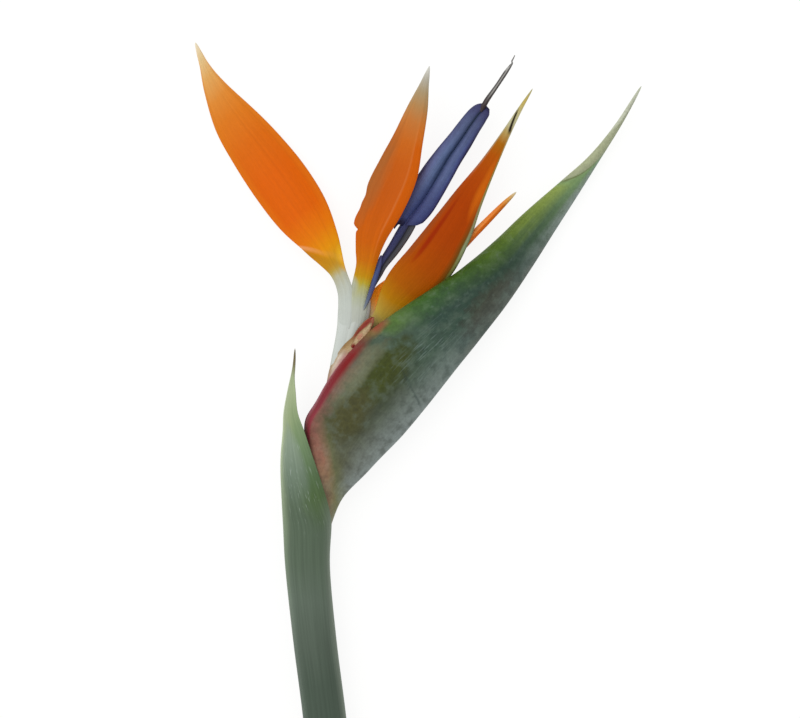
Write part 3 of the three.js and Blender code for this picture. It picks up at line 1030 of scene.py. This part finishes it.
def left_skin():
    finish = Finish("left_sepal_skin", 0.42, 0.06)
    cloud = finish.noise((6, 9, 1), 3, offset=(5, 2, 0))
    slant = finish.minus(finish.along, finish.times(finish.across, 0.02))
    finish.ground(finish.shifted(slant, cloud, 0.03), [
        (0.0, "c4cac3"), (0.08, "c0c6bd"), (0.12, "bcc0b2"), (0.152, "b8b59a"), (0.176, "b7a24a"),
        (0.2, "c8941c"), (0.24, "de8e04"), (0.3, "de7402"), (0.38, "db6000"), (0.52, "da6003"),
        (0.64, "d7680c"), (0.74, "d9771c"), (0.81, "dc8833"), (0.88, "e0a65c"), (0.94, "e6c78f"),
        (1.0, "efe6cf")])
    finish.coat(finish.patch(0.97, 0.205, 0.3, 0.045), "e8ac20")
    sides = finish.crosswise((0.0, 1.0), (0.14, 0.0), (0.84, 0.0), (1.0, 1.0))
    finish.coat(finish.both(sides, finish.lengthwise((0.3, 0.0), (0.4, 0.5))), "d67a18")
    # Painted shade: below the crease the flank turns down, away from the light, and is coated a
    # duller ochre.
    above = finish.minus(finish.along, finish.crosswise(*CREASE))
    below = finish.both(finish.slope(finish.times(above, -1.0), (0.0, 0.0), (0.02, 1.0)),
                        finish.lengthwise((0.165, 0.0), (0.2, 0.6)))
    finish.coat(below, "b97f1c")
    # Painted highlight along the ridge of the crease.
    shine = finish.both(finish.line(above, 0.004, 0.014),
                        finish.crosswise((0.0, 0.7), (0.2, 0.4), (0.4, 0.1), (0.8, 0.05),
                                         (0.95, 0.3)))
    finish.coat(shine, "e6a46c")
    return veined(finish, 0.0)


lay_sheet("sepal_left_blade", lofted(SEPAL_LEFT, left_section), (44, 240), SEPAL_WALL, lens_share,
          [left_skin()], "sepal_left")

# %% [markdown]
# ## The middle sepal
#
# This sepal is folded only a little, so that a low ridge runs up it right of the middle. It
# lies over the blue petal, and its left edge is torn low down. The section's formula makes
# both: a roof with a rounded top, and an edge that is drawn in and out.

# %% Middle sepal shape
SEPAL_MIDDLE = [
    [13.2, 190, 14, 2.6], [13.8, 197, 14.5, 3.1], [14.6, 204, 14.6, 3.4],
    [16.7, 213.5, 15.7, 3.6], [18.6, 224, 16.8, 5.8], [22.8, 235, 17.7, 7.7],
    [27.5, 246, 17.8, 7.7], [31.5, 257.5, 17.5, 5.6], [35.1, 269, 17.1, 3.7],
    [37.7, 278.2, 17, 1.5], [39.4, 284.3, 17, 0.45],
]
RIDGE_PLACE = 0.54
RIDGE_ROUND = 0.12
ROOF_SLOPE = 0.4
NICK_PLACE = 0.352
print("middle sepal length in mm:", length_of(SEPAL_MIDDLE))


def middle_section(u, s, sizes):
    """A low roof with a rounded ridge. Its left edge is torn in a few places."""
    half = sizes[0]
    claw = 1 - step_up(s, *CLAW_ENDS)
    off_ridge = math.hypot(u - RIDGE_PLACE, RIDGE_ROUND) - RIDGE_ROUND
    roof = -ROOF_SLOPE * half * off_ridge * (1 - claw)
    torn = 0.1 * hump(s, NICK_PLACE, 0.005) - 0.06 * hump(s, 0.27, 0.03)
    torn -= 0.19 * step_up(s, NICK_PLACE, NICK_PLACE + 0.015) * (1 - step_up(s, 0.37, 0.43))
    torn += 0.08 * hump(s, 0.475, 0.025) + 0.02 * hump(s, 0.61, 0.04)
    groove = -CLAW_GROOVE * step_up(-u, 0.7, 1.0)
    side = half * (u + torn * step_up(-u, 0.7, 1.0))
    return side, roof + (beside_column(half * u, 1.7) + groove) * claw

# %% [markdown]
# ## The middle sepal's finish
#
# The broad face left of the ridge is painted duller, as shade, and the narrow one on its right
# brighter, as light. The ridge itself catches the light, so a fine pale line is laid along it.

# %% Middle sepal finish
def middle_skin():
    finish = Finish("middle_sepal_skin", 0.42, 0.06)
    cloud = finish.noise((5, 8, 1), 3, offset=(2, 8, 0))
    along = finish.shifted(finish.along, cloud, 0.03)
    finish.ground(along, [
        (0.0, "c0c5bc"), (0.07, "bcc1b4"), (0.11, "b5baa0"), (0.15, "b3b070"), (0.17, "b9a432"),
        (0.195, "bf8a10"), (0.25, "c66c08"), (0.32, "c85e04"), (0.42, "c45906"), (0.52, "c0570a"),
        (0.62, "c25a0c"), (0.71, "c66518"), (0.79, "c07434"), (0.85, "b28450"), (0.9, "aa9470"),
        (0.95, "b5af9f"), (1.0, "d8d8d0")])
    finish.coat(finish.patch(0.0, 0.15, 0.4, 0.04), "afb29b")
    # Painted shade over the left part of the broad face.
    painted_shade_patch = finish.patch(0.0, 0.58, 0.42, 0.24, cloud)
    finish.coat(painted_shade_patch, "aa6028")
    # Painted light on the narrow face right of the ridge.
    narrow = finish.both(finish.crosswise((0.75, 0.0), (0.79, 1.0)),
                         finish.slope(along, (0.2, 0.0), (0.35, 0.8), (0.75, 1.0), (0.84, 0.0)))
    finish.coat(narrow, finish.ramp(along, [
        (0.3, "c65c04"), (0.45, "d25e06"), (0.7, "d26008"), (0.8, "cc7a30")]))
    crest = finish.both(finish.line(finish.across, 0.765, 0.03),
                        finish.lengthwise((0.25, 0.0), (0.4, 0.4), (0.75, 0.25), (0.85, 0.0)))
    finish.coat(crest, "d97e42")
    return veined(finish, 3.0)


lay_sheet("sepal_middle_blade", lofted(SEPAL_MIDDLE, middle_section), (48, 260), SEPAL_WALL,
          lens_share, [middle_skin()], "sepal_middle")

# %% [markdown]
# ## The right sepal
#
# This one is folded in half like a closed book, with its spine, a green keel, on the
# right. The near half hides the far one, except for a bright strip at the base, where the far
# half reaches further left. It is one folded sheet, as the spathe is.

# %% Right sepal shape
SEPAL_RIGHT = [
    [15.5, 188.5, 11.2, 2, 1.4], [22, 194, 11, 3, 1.8], [30, 204.2, 10.6, 7.6, 3.2],
    [39.2, 213.9, 10.4, 8.7, 3.6], [46.6, 225.1, 10.7, 7.5, 3.4], [53.1, 236.9, 11.2, 5.2, 2.7],
    [60.1, 248.7, 11.6, 2.9, 2], [66.6, 260.1, 12, 1.4, 1.3], [72.1, 269.6, 12.4, 0.6, 0.7],
    [76.5, 276.5, 12.6, 0.2, 0.3],
]
print("right sepal length in mm:", length_of(SEPAL_RIGHT))


def right_section(u, s, sizes):
    """A closed fold. The far half, where u is below 0, reaches further at the base."""
    half, opening = sizes
    fold = math.sin(math.pi * abs(u) / 2) ** KEEL_SHARPNESS
    reach = 2.0 + 0.12 * (1 - step_up(s, 0.08, 0.2))
    if u < 0:
        reach += 0.78 * (1 - step_up(s, 0.1, 0.2)) - 0.2 * step_up(s, 0.16, 0.26)
        opening *= 0.2 + 0.8 * step_up(s, 0.16, 0.34)
    return half * (1 - reach * fold), opening * math.sin(math.pi * u / 2)

# %% [markdown]
# ## The right sepal's finish
#
# Its outside is the deepest orange of all. The green keel is shaded low down, and the tip is
# straw-coloured, with a dried dark streak. The bright strip at the base is the inside of the far
# half, so the inside has colours of its own. They are lifted brighter than the petal is, as
# painted light, because the strip lies deep in the shade of the petals around it.

# %% Right sepal finish
def right_skin(name, inside):
    finish = Finish(name, 0.42, 0.06)
    cloud = finish.noise((6, 8, 1), 3, offset=(7, 3, 0))
    along = finish.shifted(finish.along, cloud, 0.03)
    if inside:
        # Painted light: these colours are lifted to make up for the shade the strip lies in.
        finish.ground(along, [
            (0.07, "ccb080"), (0.095, "e8a858"), (0.125, "ff9c18"), (0.2, "f89214"),
            (0.4, "e06a02"), (0.75, "d67a20"), (0.9, "d8cfa8")])
        return veined(finish, 9.0)
    finish.across = finish.from_keel()
    finish.ground(along, [
        (0.0, "a9ac7a"), (0.05, "b09c60"), (0.09, "bda040"), (0.15, "b87c08"), (0.21, "b05c02"),
        (0.3, "ae4c00"), (0.42, "aa4100"), (0.55, "ab3f00"), (0.65, "b14703"), (0.74, "b45404"),
        (0.79, "ae6a10"), (0.83, "b99e5c"), (0.86, "c6c198"), (0.9, "c9c08c"), (0.95, "ccb460"),
        (1.0, "b4ae80")])
    browned = finish.both(finish.crosswise((0.86, 0.0), (0.95, 0.7)),
                          finish.slope(along, (0.24, 0.0), (0.32, 1.0), (0.55, 1.0), (0.65, 0.0)))
    finish.coat(browned, "964a1c")
    ruddy = finish.patch(0.78, 0.42, 0.07, 0.15, cloud)
    finish.coat(ruddy, "9c2a00")
    bright = finish.patch(0.2, 0.64, 0.2, 0.14, cloud)
    finish.coat(bright, "cc620a")
    spine = finish.lengthwise((0.26, 0.0), (0.33, 0.06), (0.42, 0.08), (0.5, 0.06), (0.75, 0.06))
    out = finish.minus(finish.across, spine)
    shade = finish.both(finish.slope(out, (0.0, 0.85), (0.13, 0.0)),
                        finish.lengthwise((0.15, 0.3), (0.28, 1.0), (0.45, 1.0), (0.6, 0.0)))
    finish.coat(shade, "5a4a14")
    keel = finish.slope(finish.plus(out, 0.03), (0.0, 1.0), (0.035, 0.0))
    finish.coat(keel, finish.ramp(finish.along, [
        (0.24, "5a6428"), (0.3, "66722e"), (0.36, "86884e"), (0.42, "8e9870"), (0.5, "92946e"),
        (0.62, "948a4a"), (0.75, "b08a38"), (0.85, "cfc79c")]))
    rim = finish.both(finish.crosswise((0.88, 0.0), (0.97, 0.6)),
                      finish.lengthwise((0.62, 0.0), (0.8, 1.0)))
    finish.coat(rim, "a9ac8c")
    slant = finish.minus(finish.across, finish.times(finish.along, 7.9))
    scar = finish.both(finish.line(finish.plus(slant, 6.88), 0.5, 0.3),
                       finish.lengthwise((0.825, 0.0), (0.84, 1.0), (0.9, 1.0), (0.925, 0.0)))
    finish.coat(scar, "241a10")
    return veined(finish, 6.0)


lay_sheet("sepal_right_blade", lofted(SEPAL_RIGHT, right_section), (72, 220), SEPAL_WALL, lens_share,
          [right_skin("right_sepal_outside", False), right_skin("right_sepal_inside", True)],
          "sepal_right", folded=True, thin=0.35)

# %% [markdown]
# ## The blue petal
#
# Two petals are joined into one arrow that holds the stamens and the style in its groove. Its
# blade is two long rolls side by side. The base of the left roll ends in a barb and that of
# the right one in a round lobe, and a narrow shank carries both.

# %% Tongue shape
TONGUE = [
    [26.8, 223.8, 11.2, 2.2], [28.6, 226.0, 11.2, 3.8], [30.6, 229.0, 11.3, 4.9],
    [32.7, 231.9, 11.4, 5.65], [35.5, 235.5, 11.4, 5.95], [38.9, 240.6, 11.4, 5.75],
    [42.8, 246.8, 11.4, 5.4], [46.3, 252.1, 11.3, 4.9], [50.4, 257.8, 11.2, 4.4],
    [53.8, 262.9, 11.1, 3.95], [56.75, 266.9, 11, 3.55], [58.95, 269.0, 11, 2.75],
    [60.3, 270.1, 11, 1.2],
]
TONGUE_BASE = [(-1, 0.09), (-0.6, 0.04), (-0.45, 0.028), (-0.3, 0.072), (0.14, 0.08),
               (0.54, 0.107), (0.84, 0.132), (1, 0.172)]  # where it starts, for a place across
TONGUE_WALL = 1.3
GROOVE_PLACE = 0.13  # right of the middle low down, and closer to it towards the end
GROOVE_DEPTH = 0.7
GROOVE_WIDTH = 0.16
ROLL_HEIGHT = 0.16  # as a share of the blade's half width
ROLL_FULLNESS = 0.7
print("tongue length in mm:", length_of(TONGUE))


def tongue_section(u, s, sizes):
    half = sizes[0]
    middle = GROOVE_PLACE * (1 - 0.7 * step_up(s, 0.4, 0.65))
    roll = max(0.0, 1 - (2 * abs(u - middle * (1 - u * u)) - 1) ** 2) ** ROLL_FULLNESS
    return half * u, ROLL_HEIGHT * half * roll - GROOVE_DEPTH * hump(u, middle, GROOVE_WIDTH)


def tongue_surface():
    """The blade's base is cut back unevenly, to leave the barb, the notch and the lobe."""
    blade = lofted(TONGUE, tongue_section, tip=0)

    def surface(u, s):
        start = np.interp(u, *zip(*TONGUE_BASE))
        return blade(u, start + (1 - start) * s)

    return surface

# %% [markdown]
# ### Its finish
#
# It is a dusty blue violet, darkest in the groove and along both edges, so its ground colours go
# across the chart. That darkness is partly its own colour and partly painted shade, where each
# roll turns down from its crown to its edges and into the groove. It is deeper low down and ashy
# towards the end, with fine veins along both rolls and a nearly black barb.

# %% Tongue finish
def tongue_skin():
    finish = Finish("tongue_skin", 0.45, specular=0.12)
    veins = finish.noise((60, 3.4, 1), 4)
    cloud = finish.mottle(4, 4)
    spots = finish.mottle(1.2, 3)
    lean = finish.lengthwise((0.4, 0.065), (0.65, 0.015))
    across = finish.minus(finish.shifted(finish.across, cloud, 0.05), lean)
    # The dark groove and dark edges are partly the petal's own colour and partly painted shade of the
    # rolls.
    finish.ground(across, [
        (0.0, "3c3f66"), (0.05, "535a82"), (0.14, "5a6590"), (0.26, "5c6c94"), (0.34, "4e5e84"),
        (0.41, "3c4a6e"), (0.47, "263150"), (0.53, "2f3a58"), (0.58, "46527a"), (0.66, "55618a"),
        (0.74, "515e86"), (0.82, "4a5686"), (0.89, "3c4272"), (0.94, "211d40")])
    deep = finish.lengthwise((0.1, 0.75), (0.28, 0.4), (0.4, 0.0))
    finish.coat(deep, "3a4174")
    ashy = finish.lengthwise((0.62, 0.0), (0.8, 0.5))
    finish.coat(ashy, "484d6c")
    dusk = finish.slope(finish.shifted(finish.along, cloud, 0.06), (0.84, 0.0), (0.93, 0.6),
                        (0.98, 0.9))
    finish.coat(dusk, "38355e")
    # Partly the groove's own darker blue and partly painted shade in it.
    cleft_tone_and_shade = finish.both(finish.line(across, 0.49, 0.14),
                        finish.lengthwise((0.35, 0.0), (0.6, 0.85), (0.9, 1.0)))
    finish.coat(cleft_tone_and_shade, finish.ramp(finish.along, [(0.7, "2a3856"), (0.9, "24343e")]))
    finish.coat(finish.lengthwise((0.97, 0.0), (0.992, 0.9)), "211d40")
    barb = finish.both(finish.lengthwise((0.0, 1.0), (0.03, 0.8), (0.06, 0.0)),
                       finish.crosswise((0.45, 1.0), (0.6, 0.3)))
    finish.coat(barb, "1c1836")
    finish.vary(veins, 0.86, 1.12)
    finish.vary(spots, 0.92, 1.08)
    return finish.set(veins, 0.14)


lay_sheet("tongue_blade", tongue_surface(), (64, 160), TONGUE_WALL, lens_share, [tongue_skin()],
          "petal_tongue")

# %% [markdown]
# ### Its shank
#
# Low down the two petals are no more than a thin folded stalk. It is a rolled grid with a
# groove, because a skin this narrow would have hardly any inside.

# %% Tongue shank
SHANK = [
    [17.3, 200.4, 13.6, 0.3, 0.3], [18.7, 204.1, 13.0, 0.55, 0.5], [19.9, 206.8, 12.5, 0.8, 0.7],
    [21.1, 209.7, 12.0, 1.3, 0.9], [22.7, 213.4, 11.5, 1.8, 1.1], [26.8, 219.3, 11.0, 2.35, 1.1],
    [31.4, 226.8, 10.8, 2.6, 1.1], [36.5, 236, 10.8, 1.6, 0.9],
]
SHANK_GROOVE = 0.3
print("shank length in mm:", length_of(SHANK))


def shank_groove(angle, s):
    """The shank is two edges folded together, so a groove runs up it."""
    return -SHANK_GROOVE * hump(angle, 0.25, 0.22) * step_up(s, 0.1, 0.3)


def shank_skin():
    finish = Finish("shank_skin", 0.45, specular=0.16)
    veins = finish.noise((30, 6, 1), 3)
    # Painted shade: the near-black stop is the groove in shade, and the grey right side is the right
    # strand in shade.
    finish.ground(finish.across, [
        (0.28, "2a3058"), (0.4, "3c4474"), (0.49, "33375a"), (0.535, "1c1c24"), (0.59, "44474e"),
        (0.66, "56595d"), (0.74, "2a2a30")])
    finish.vary(veins, 0.82, 1.12)
    return finish.set(veins, 0.3)


roll_stalk("tongue_shank", round_section(SHANK, 0.02, shank_groove), (40, 110), [shank_skin()],
           "petal_tongue")

# %% [markdown]
# ## The hood
#
# The third petal is a small sliver that hoods the foot of the blue arrow. It is laid as a
# sheet like the sepals, only bent down at both edges, because it is just as thin.

# %% Hood
HOOD = [
    [15.6, 196.8, 14.2, 0.12], [16.3, 198.2, 14.6, 0.4], [17.2, 200.2, 14.9, 0.6],
    [18.0, 202.4, 15.0, 0.75], [18.9, 205.0, 15.0, 0.85], [19.7, 207.8, 14.8, 0.95],
    [20.4, 210.4, 14.3, 1.05], [21.2, 213.2, 13.7, 0.95], [22.1, 216.6, 13.2, 0.3],
]
BLADE_BEND = 0.45  # how far a small blade's edges turn down, as a share of its half width
print("hood length in mm:", length_of(HOOD))


def hood_section(u, s, sizes):
    return sizes[0] * u, -BLADE_BEND * sizes[0] * u * u


def hood_skin():
    finish = Finish("hood_skin", 0.45, specular=0.16)
    veins = finish.noise((24, 3, 1), 3)
    finish.ground(finish.along, [
        (0.0, "a9acaa"), (0.08, "7e8790"), (0.2, "5e6880"), (0.34, "50527a"), (0.6, "40507e"),
        (0.85, "4c5688"), (1.0, "5c5c88")])
    edge = finish.crosswise((0.6, 0.0), (1.0, 0.7))
    finish.coat(edge, "383c68")
    finish.vary(veins, 0.88, 1.1)
    return finish.set(veins, 0.15)


lay_sheet("hood_sliver", lofted(HOOD, hood_section, wander=0), (14, 60), 0.7, lens_share,
          [hood_skin()], "petal_hood")

# %% [markdown]
# ## The bracteole
#
# A small papery bract wraps the foot of each flower. It comes out of the mouth over the
# white column: a cream and pink skin low down, and above it a dry, beige flap with a red-brown
# edge. It is thin and crinkled, so its section wavers along its length.

# %% Bracteole
BRACTEOLE = [
    [3.0, 163.0, 14.2, 2.4, 1.6], [4.9, 169.0, 15.0, 2.8, 2.6], [6.6, 175.0, 15.5, 3.2, 2.8],
    [8.9, 179.2, 15.8, 3.2, 1.5], [11.2, 182.6, 15.9, 3.0, 0.7], [13.8, 185.3, 15.9, 2.8, 0.6],
    [15.3, 188.3, 15.9, 2.4, 0.5], [17.3, 191.5, 16.2, 1.8, 0.3], [19.4, 194.3, 16.6, 0.7, 0.1],
]
print("bracteole length in mm:", length_of(BRACTEOLE))


def flap_section(u, s, sizes):
    """Its left side drops away, and two crossing waves crinkle it."""
    half, drop = sizes
    crinkle = 0.12 * math.sin(31 * s + 3 * u) + 0.08 * math.sin(67 * s - 5 * u)
    return half * u, -drop * min(u, 0.0) ** 2 + crinkle


def dry_skin():
    finish = Finish("bracteole_paper", 0.75, specular=0.08)
    fibres = finish.noise((30, 5, 1), 4)
    cloud = finish.noise((6, 12, 1), 3)
    across = finish.shifted(finish.across, cloud, 0.16)
    low = finish.ramp(across, [
        (0.0, "a38f74"), (0.1, "b8a184"), (0.22, "cfc0ae"), (0.42, "c79a92"), (0.62, "b8606c"),
        (0.85, "a84a58")])
    high = finish.ramp(across, [
        (0.0, "9a7a50"), (0.12, "a08058"), (0.24, "b89c70"), (0.45, "c8b08a"), (0.7, "b09068"),
        (1.0, "8a5a3c")])
    red = finish.ramp(across, [
        (0.0, "9a6a4a"), (0.14, "8e3e34"), (0.4, "a2463c"), (0.55, "b0785a"), (1.0, "a05a48")])
    low = finish.mix(finish.lengthwise((0.2, 0.6), (0.36, 0.0)), low, "c08a88")
    finish.colour = finish.mix(finish.lengthwise((0.5, 0.0), (0.58, 1.0)), low, high)
    finish.coat(finish.lengthwise((0.66, 0.0), (0.76, 1.0)), red)
    finish.vary(fibres, 0.88, 1.1)
    return finish.set(fibres, 0.3)


lay_sheet("bracteole_wrap", lofted(BRACTEOLE, flap_section, wander=0), (28, 110), 0.35, lens_share,
          [dry_skin()], "bracteole")

# %% [markdown]
# ### Its torn scrap
#
# A torn scrap of the same bract has curled over the edge of the boat. It is a second small
# sheet, because the real one lies on the other side of that edge.

# %% Bracteole scrap
SCRAP = [
    [11.4, 183.4, 17.8, 0.5, 0.1], [13.4, 185.3, 18.0, 1.45, 0.3], [15.6, 187.9, 18.1, 1.6, 0.3],
    [17.4, 190.2, 18.1, 1.0, 0.2], [18.8, 192.2, 18.0, 0.25, 0.1],
]
print("scrap length in mm:", length_of(SCRAP))


def scrap_skin():
    finish = Finish("bracteole_scrap_paper", 0.75, specular=0.08)
    fibres = finish.noise((14, 3, 1), 4)
    finish.ground(finish.shifted(finish.across, fibres, 0.2), [
        (0.0, "8a6a48"), (0.16, "b09470"), (0.4, "c4ae88"), (0.7, "b89c78"), (0.9, "9a7050")])
    finish.coat(finish.patch(0.35, 0.42, 0.3, 0.16, fibres), "c08a70")
    finish.coat(finish.patch(0.6, 0.06, 0.6, 0.11), "8a3028")
    finish.vary(fibres, 0.86, 1.1)
    return finish.set(fibres, 0.3)


lay_sheet("bracteole_scrap", lofted(SCRAP, flap_section, wander=0), (16, 40), 0.3, lens_share,
          [scrap_skin()], "bracteole")

# %% [markdown]
# ## The style
#
# The style and its stigma come out of the arrow's end as a grey thread, which ends in a bent
# hair. It is rolled like a stalk. Its grey is streaked along, with a pale line on top between
# two dark ones, painted highlight and shade, so that it looks half clear.

# %% Style
STYLE = [
    [57.6, 268.2, 11.2, 0.8, 0.8], [59.2, 270.9, 11.4, 0.95, 0.9], [60.6, 273.2, 11.4, 0.92, 0.85],
    [63.7, 277.6, 11.4, 0.77, 0.7], [66.3, 281.5, 11.5, 0.78, 0.6], [67.5, 283.3, 11.6, 0.7, 0.5],
    [68.6, 284.8, 11.6, 0.48, 0.4], [69.2, 285.7, 11.6, 0.3, 0.3], [69.1, 286.5, 11.6, 0.25, 0.25],
    [69.6, 287.4, 11.7, 0.23, 0.23], [70.2, 288.7, 11.7, 0.14, 0.14],
]
print("style length in mm:", length_of(STYLE))


def style_skin():
    finish = Finish("style_skin", 0.4, specular=0.2)
    fibres = finish.noise((20, 9, 1), 3)
    # Painted highlight and shade: a pale line on top between two dark ones.
    finish.ground(finish.across, [
        (0.28, "7a7876"), (0.37, "4a4846"), (0.41, "3a3634"), (0.46, "8b8884"), (0.51, "a4a29c"),
        (0.55, "5d5a58"), (0.6, "2f2b2b"), (0.66, "6a6664")])
    base = finish.lengthwise((0.1, 1.0), (0.2, 0.8), (0.34, 0.0))
    finish.coat(base, "3a2e30")
    tip = finish.both(finish.patch(0.38, 0.76, 0.12, 0.06),
                      finish.slope(fibres, (0.2, 0.6), (0.8, 1.0)))
    finish.coat(tip, "c4c4c0")
    finish.vary(fibres, 0.85, 1.1)
    return finish.set(fibres, 0.2)


roll_stalk("style_thread", round_section(STYLE, 0.01), (24, 110), [style_skin()], "style")

# %% [markdown]
# ## The second flower
#
# The next flower is still folded inside the boat, with the orange point of one sepal
# already out. The bud lies along the boat's floor, and the sepal rises from its end.

# %% Second flower
SECOND_BUD = [
    [-2.2, 117.4, 9.2, 1, 1], [2.4, 127, 9.8, 1.5, 1.5], [9, 140, 10.6, 2.4, 2.4],
    [17.5, 155, 10.8, 3.8, 3.8], [27, 171, 10.6, 3.6, 3.6], [34.5, 186, 9.8, 2.6, 2.6],
    [39, 197.4, 8.8, 1.3, 1.3],
]
SECOND_SEPAL = [
    [38.8, 198.3, 8.8, 1.1], [43.9, 208.0, 8.6, 1.1], [48.2, 215.6, 8.6, 1.1],
    [54.0, 222.6, 8.8, 1.3], [60.4, 229.2, 9.0, 1.2], [66.2, 235.1, 9.2, 0.9],
    [70.8, 239.5, 9.4, 0.35],
]
print("second sepal length in mm:", length_of(SECOND_SEPAL))


def bud_skin():
    finish = Finish("bud_skin", 0.5)
    streaks = finish.noise((20, 5, 1), 3)
    finish.ground(finish.along, [(0.0, "c3c9ae"), (0.7, "b4bf93"), (1.0, "c9b060")])
    finish.vary(streaks, 0.9, 1.08)
    return finish.set(streaks, 0.15)


def point_section(u, s, sizes):
    return sizes[0] * u, -BLADE_BEND * sizes[0] * abs(u)


def point_skin():
    finish = Finish("second_sepal_skin", 0.42, 0.06)
    # Painted light: both ramps are lifted brighter than the sepal is, because it lies in the shade of
    # the right sepal.
    left = finish.ramp(finish.along, [
        (0.3, "d08a30"), (0.5, "f4984a"), (0.64, "f09448"), (0.75, "ea863a"), (0.86, "e08434"),
        (0.93, "dca052"), (1.0, "d6cca6")])
    right = finish.ramp(finish.along, [
        (0.3, "b06c28"), (0.5, "ec7a30"), (0.64, "e06c1a"), (0.75, "d86814"), (0.86, "cc6a18"),
        (0.93, "d49c50"), (1.0, "d6cca6")])
    finish.colour = finish.mix(finish.crosswise((0.48, 0.0), (0.56, 1.0)), left, right)
    return veined(finish, 12.0)


roll_stalk("second_bud_spindle", round_section(SECOND_BUD), (32, 90), [bud_skin()],
           "second_flower_bud")
lay_sheet("second_sepal_point", lofted(SECOND_SEPAL, point_section, wander=0), (16, 90), 0.9,
          lens_share, [point_skin()], "second_flower_sepal")

# %% [markdown]
# ## Floor
#
# A plain pale floor runs out far enough that its edge never shows from above. It glows a
# little, as a light table does, which keeps the shadows between the petals soft.

# %% Floor
FLOOR_SIDE = 8.0
FLOOR_DROP = 0.0002
FLOOR_GLOW = 0.88
floor_shape = bmesh.new()
bmesh.ops.create_grid(floor_shape, x_segments=1, y_segments=1, size=FLOOR_SIDE / 2)
floor_mesh = bpy.data.meshes.new("floor")
floor_shape.to_mesh(floor_mesh)
floor_shape.free()
floor = bpy.data.objects.new("floor", floor_mesh)
floor.location.z = MODEL_LOW.z - FLOOR_DROP
bpy.context.collection.objects.link(floor)
paper = bpy.data.materials.new("floor_paper")
paper.use_nodes = True
paper_skin = paper.node_tree.nodes["Principled BSDF"]
paper_skin.inputs["Base Color"].default_value = tint("6a6a68")
paper_skin.inputs["Roughness"].default_value = 0.9
paper_skin.inputs["Specular IOR Level"].default_value = 0.1
paper_skin.inputs["Emission Color"].default_value = tint("ffffff")
paper_skin.inputs["Emission Strength"].default_value = FLOOR_GLOW
floor_mesh.materials.append(paper)
print("floor side in metres:", FLOOR_SIDE)

# %% [markdown]
# ## Light
#
# The light is a bright even sky with one wide, soft lamp above and to the left, which gives
# the petals their shape without a hard shadow.

# %% Light
SKY = 0.72
LAMP_POWER = 9.0
LAMP_SIDE = 1.2
LAMP_PLACE = (-0.6, 0.5, 1.3)
world = bpy.data.worlds.new("white_room")
world.use_nodes = True
world.node_tree.nodes["Background"].inputs["Color"].default_value = (1, 1, 1, 1)
world.node_tree.nodes["Background"].inputs["Strength"].default_value = SKY
bpy.context.scene.world = world
lamp_data = bpy.data.lights.new("soft_box", "AREA")
lamp_data.size = LAMP_SIDE
lamp_data.energy = LAMP_POWER
lamp = bpy.data.objects.new("soft_box", lamp_data)
lamp.location = LAMP_PLACE
lamp.rotation_euler = (-lamp.location).to_track_quat("-Z", "Y").to_euler()
bpy.context.collection.objects.link(lamp)
bpy.context.scene.view_settings.view_transform = "Standard"
print("lamp watts:", LAMP_POWER, "sky:", SKY)

# %% [markdown]
# ## Sizes
#
# The model's box, in metres, is printed when the model is loaded. The finished flower has to
# keep to the model's box, to within a small allowance.
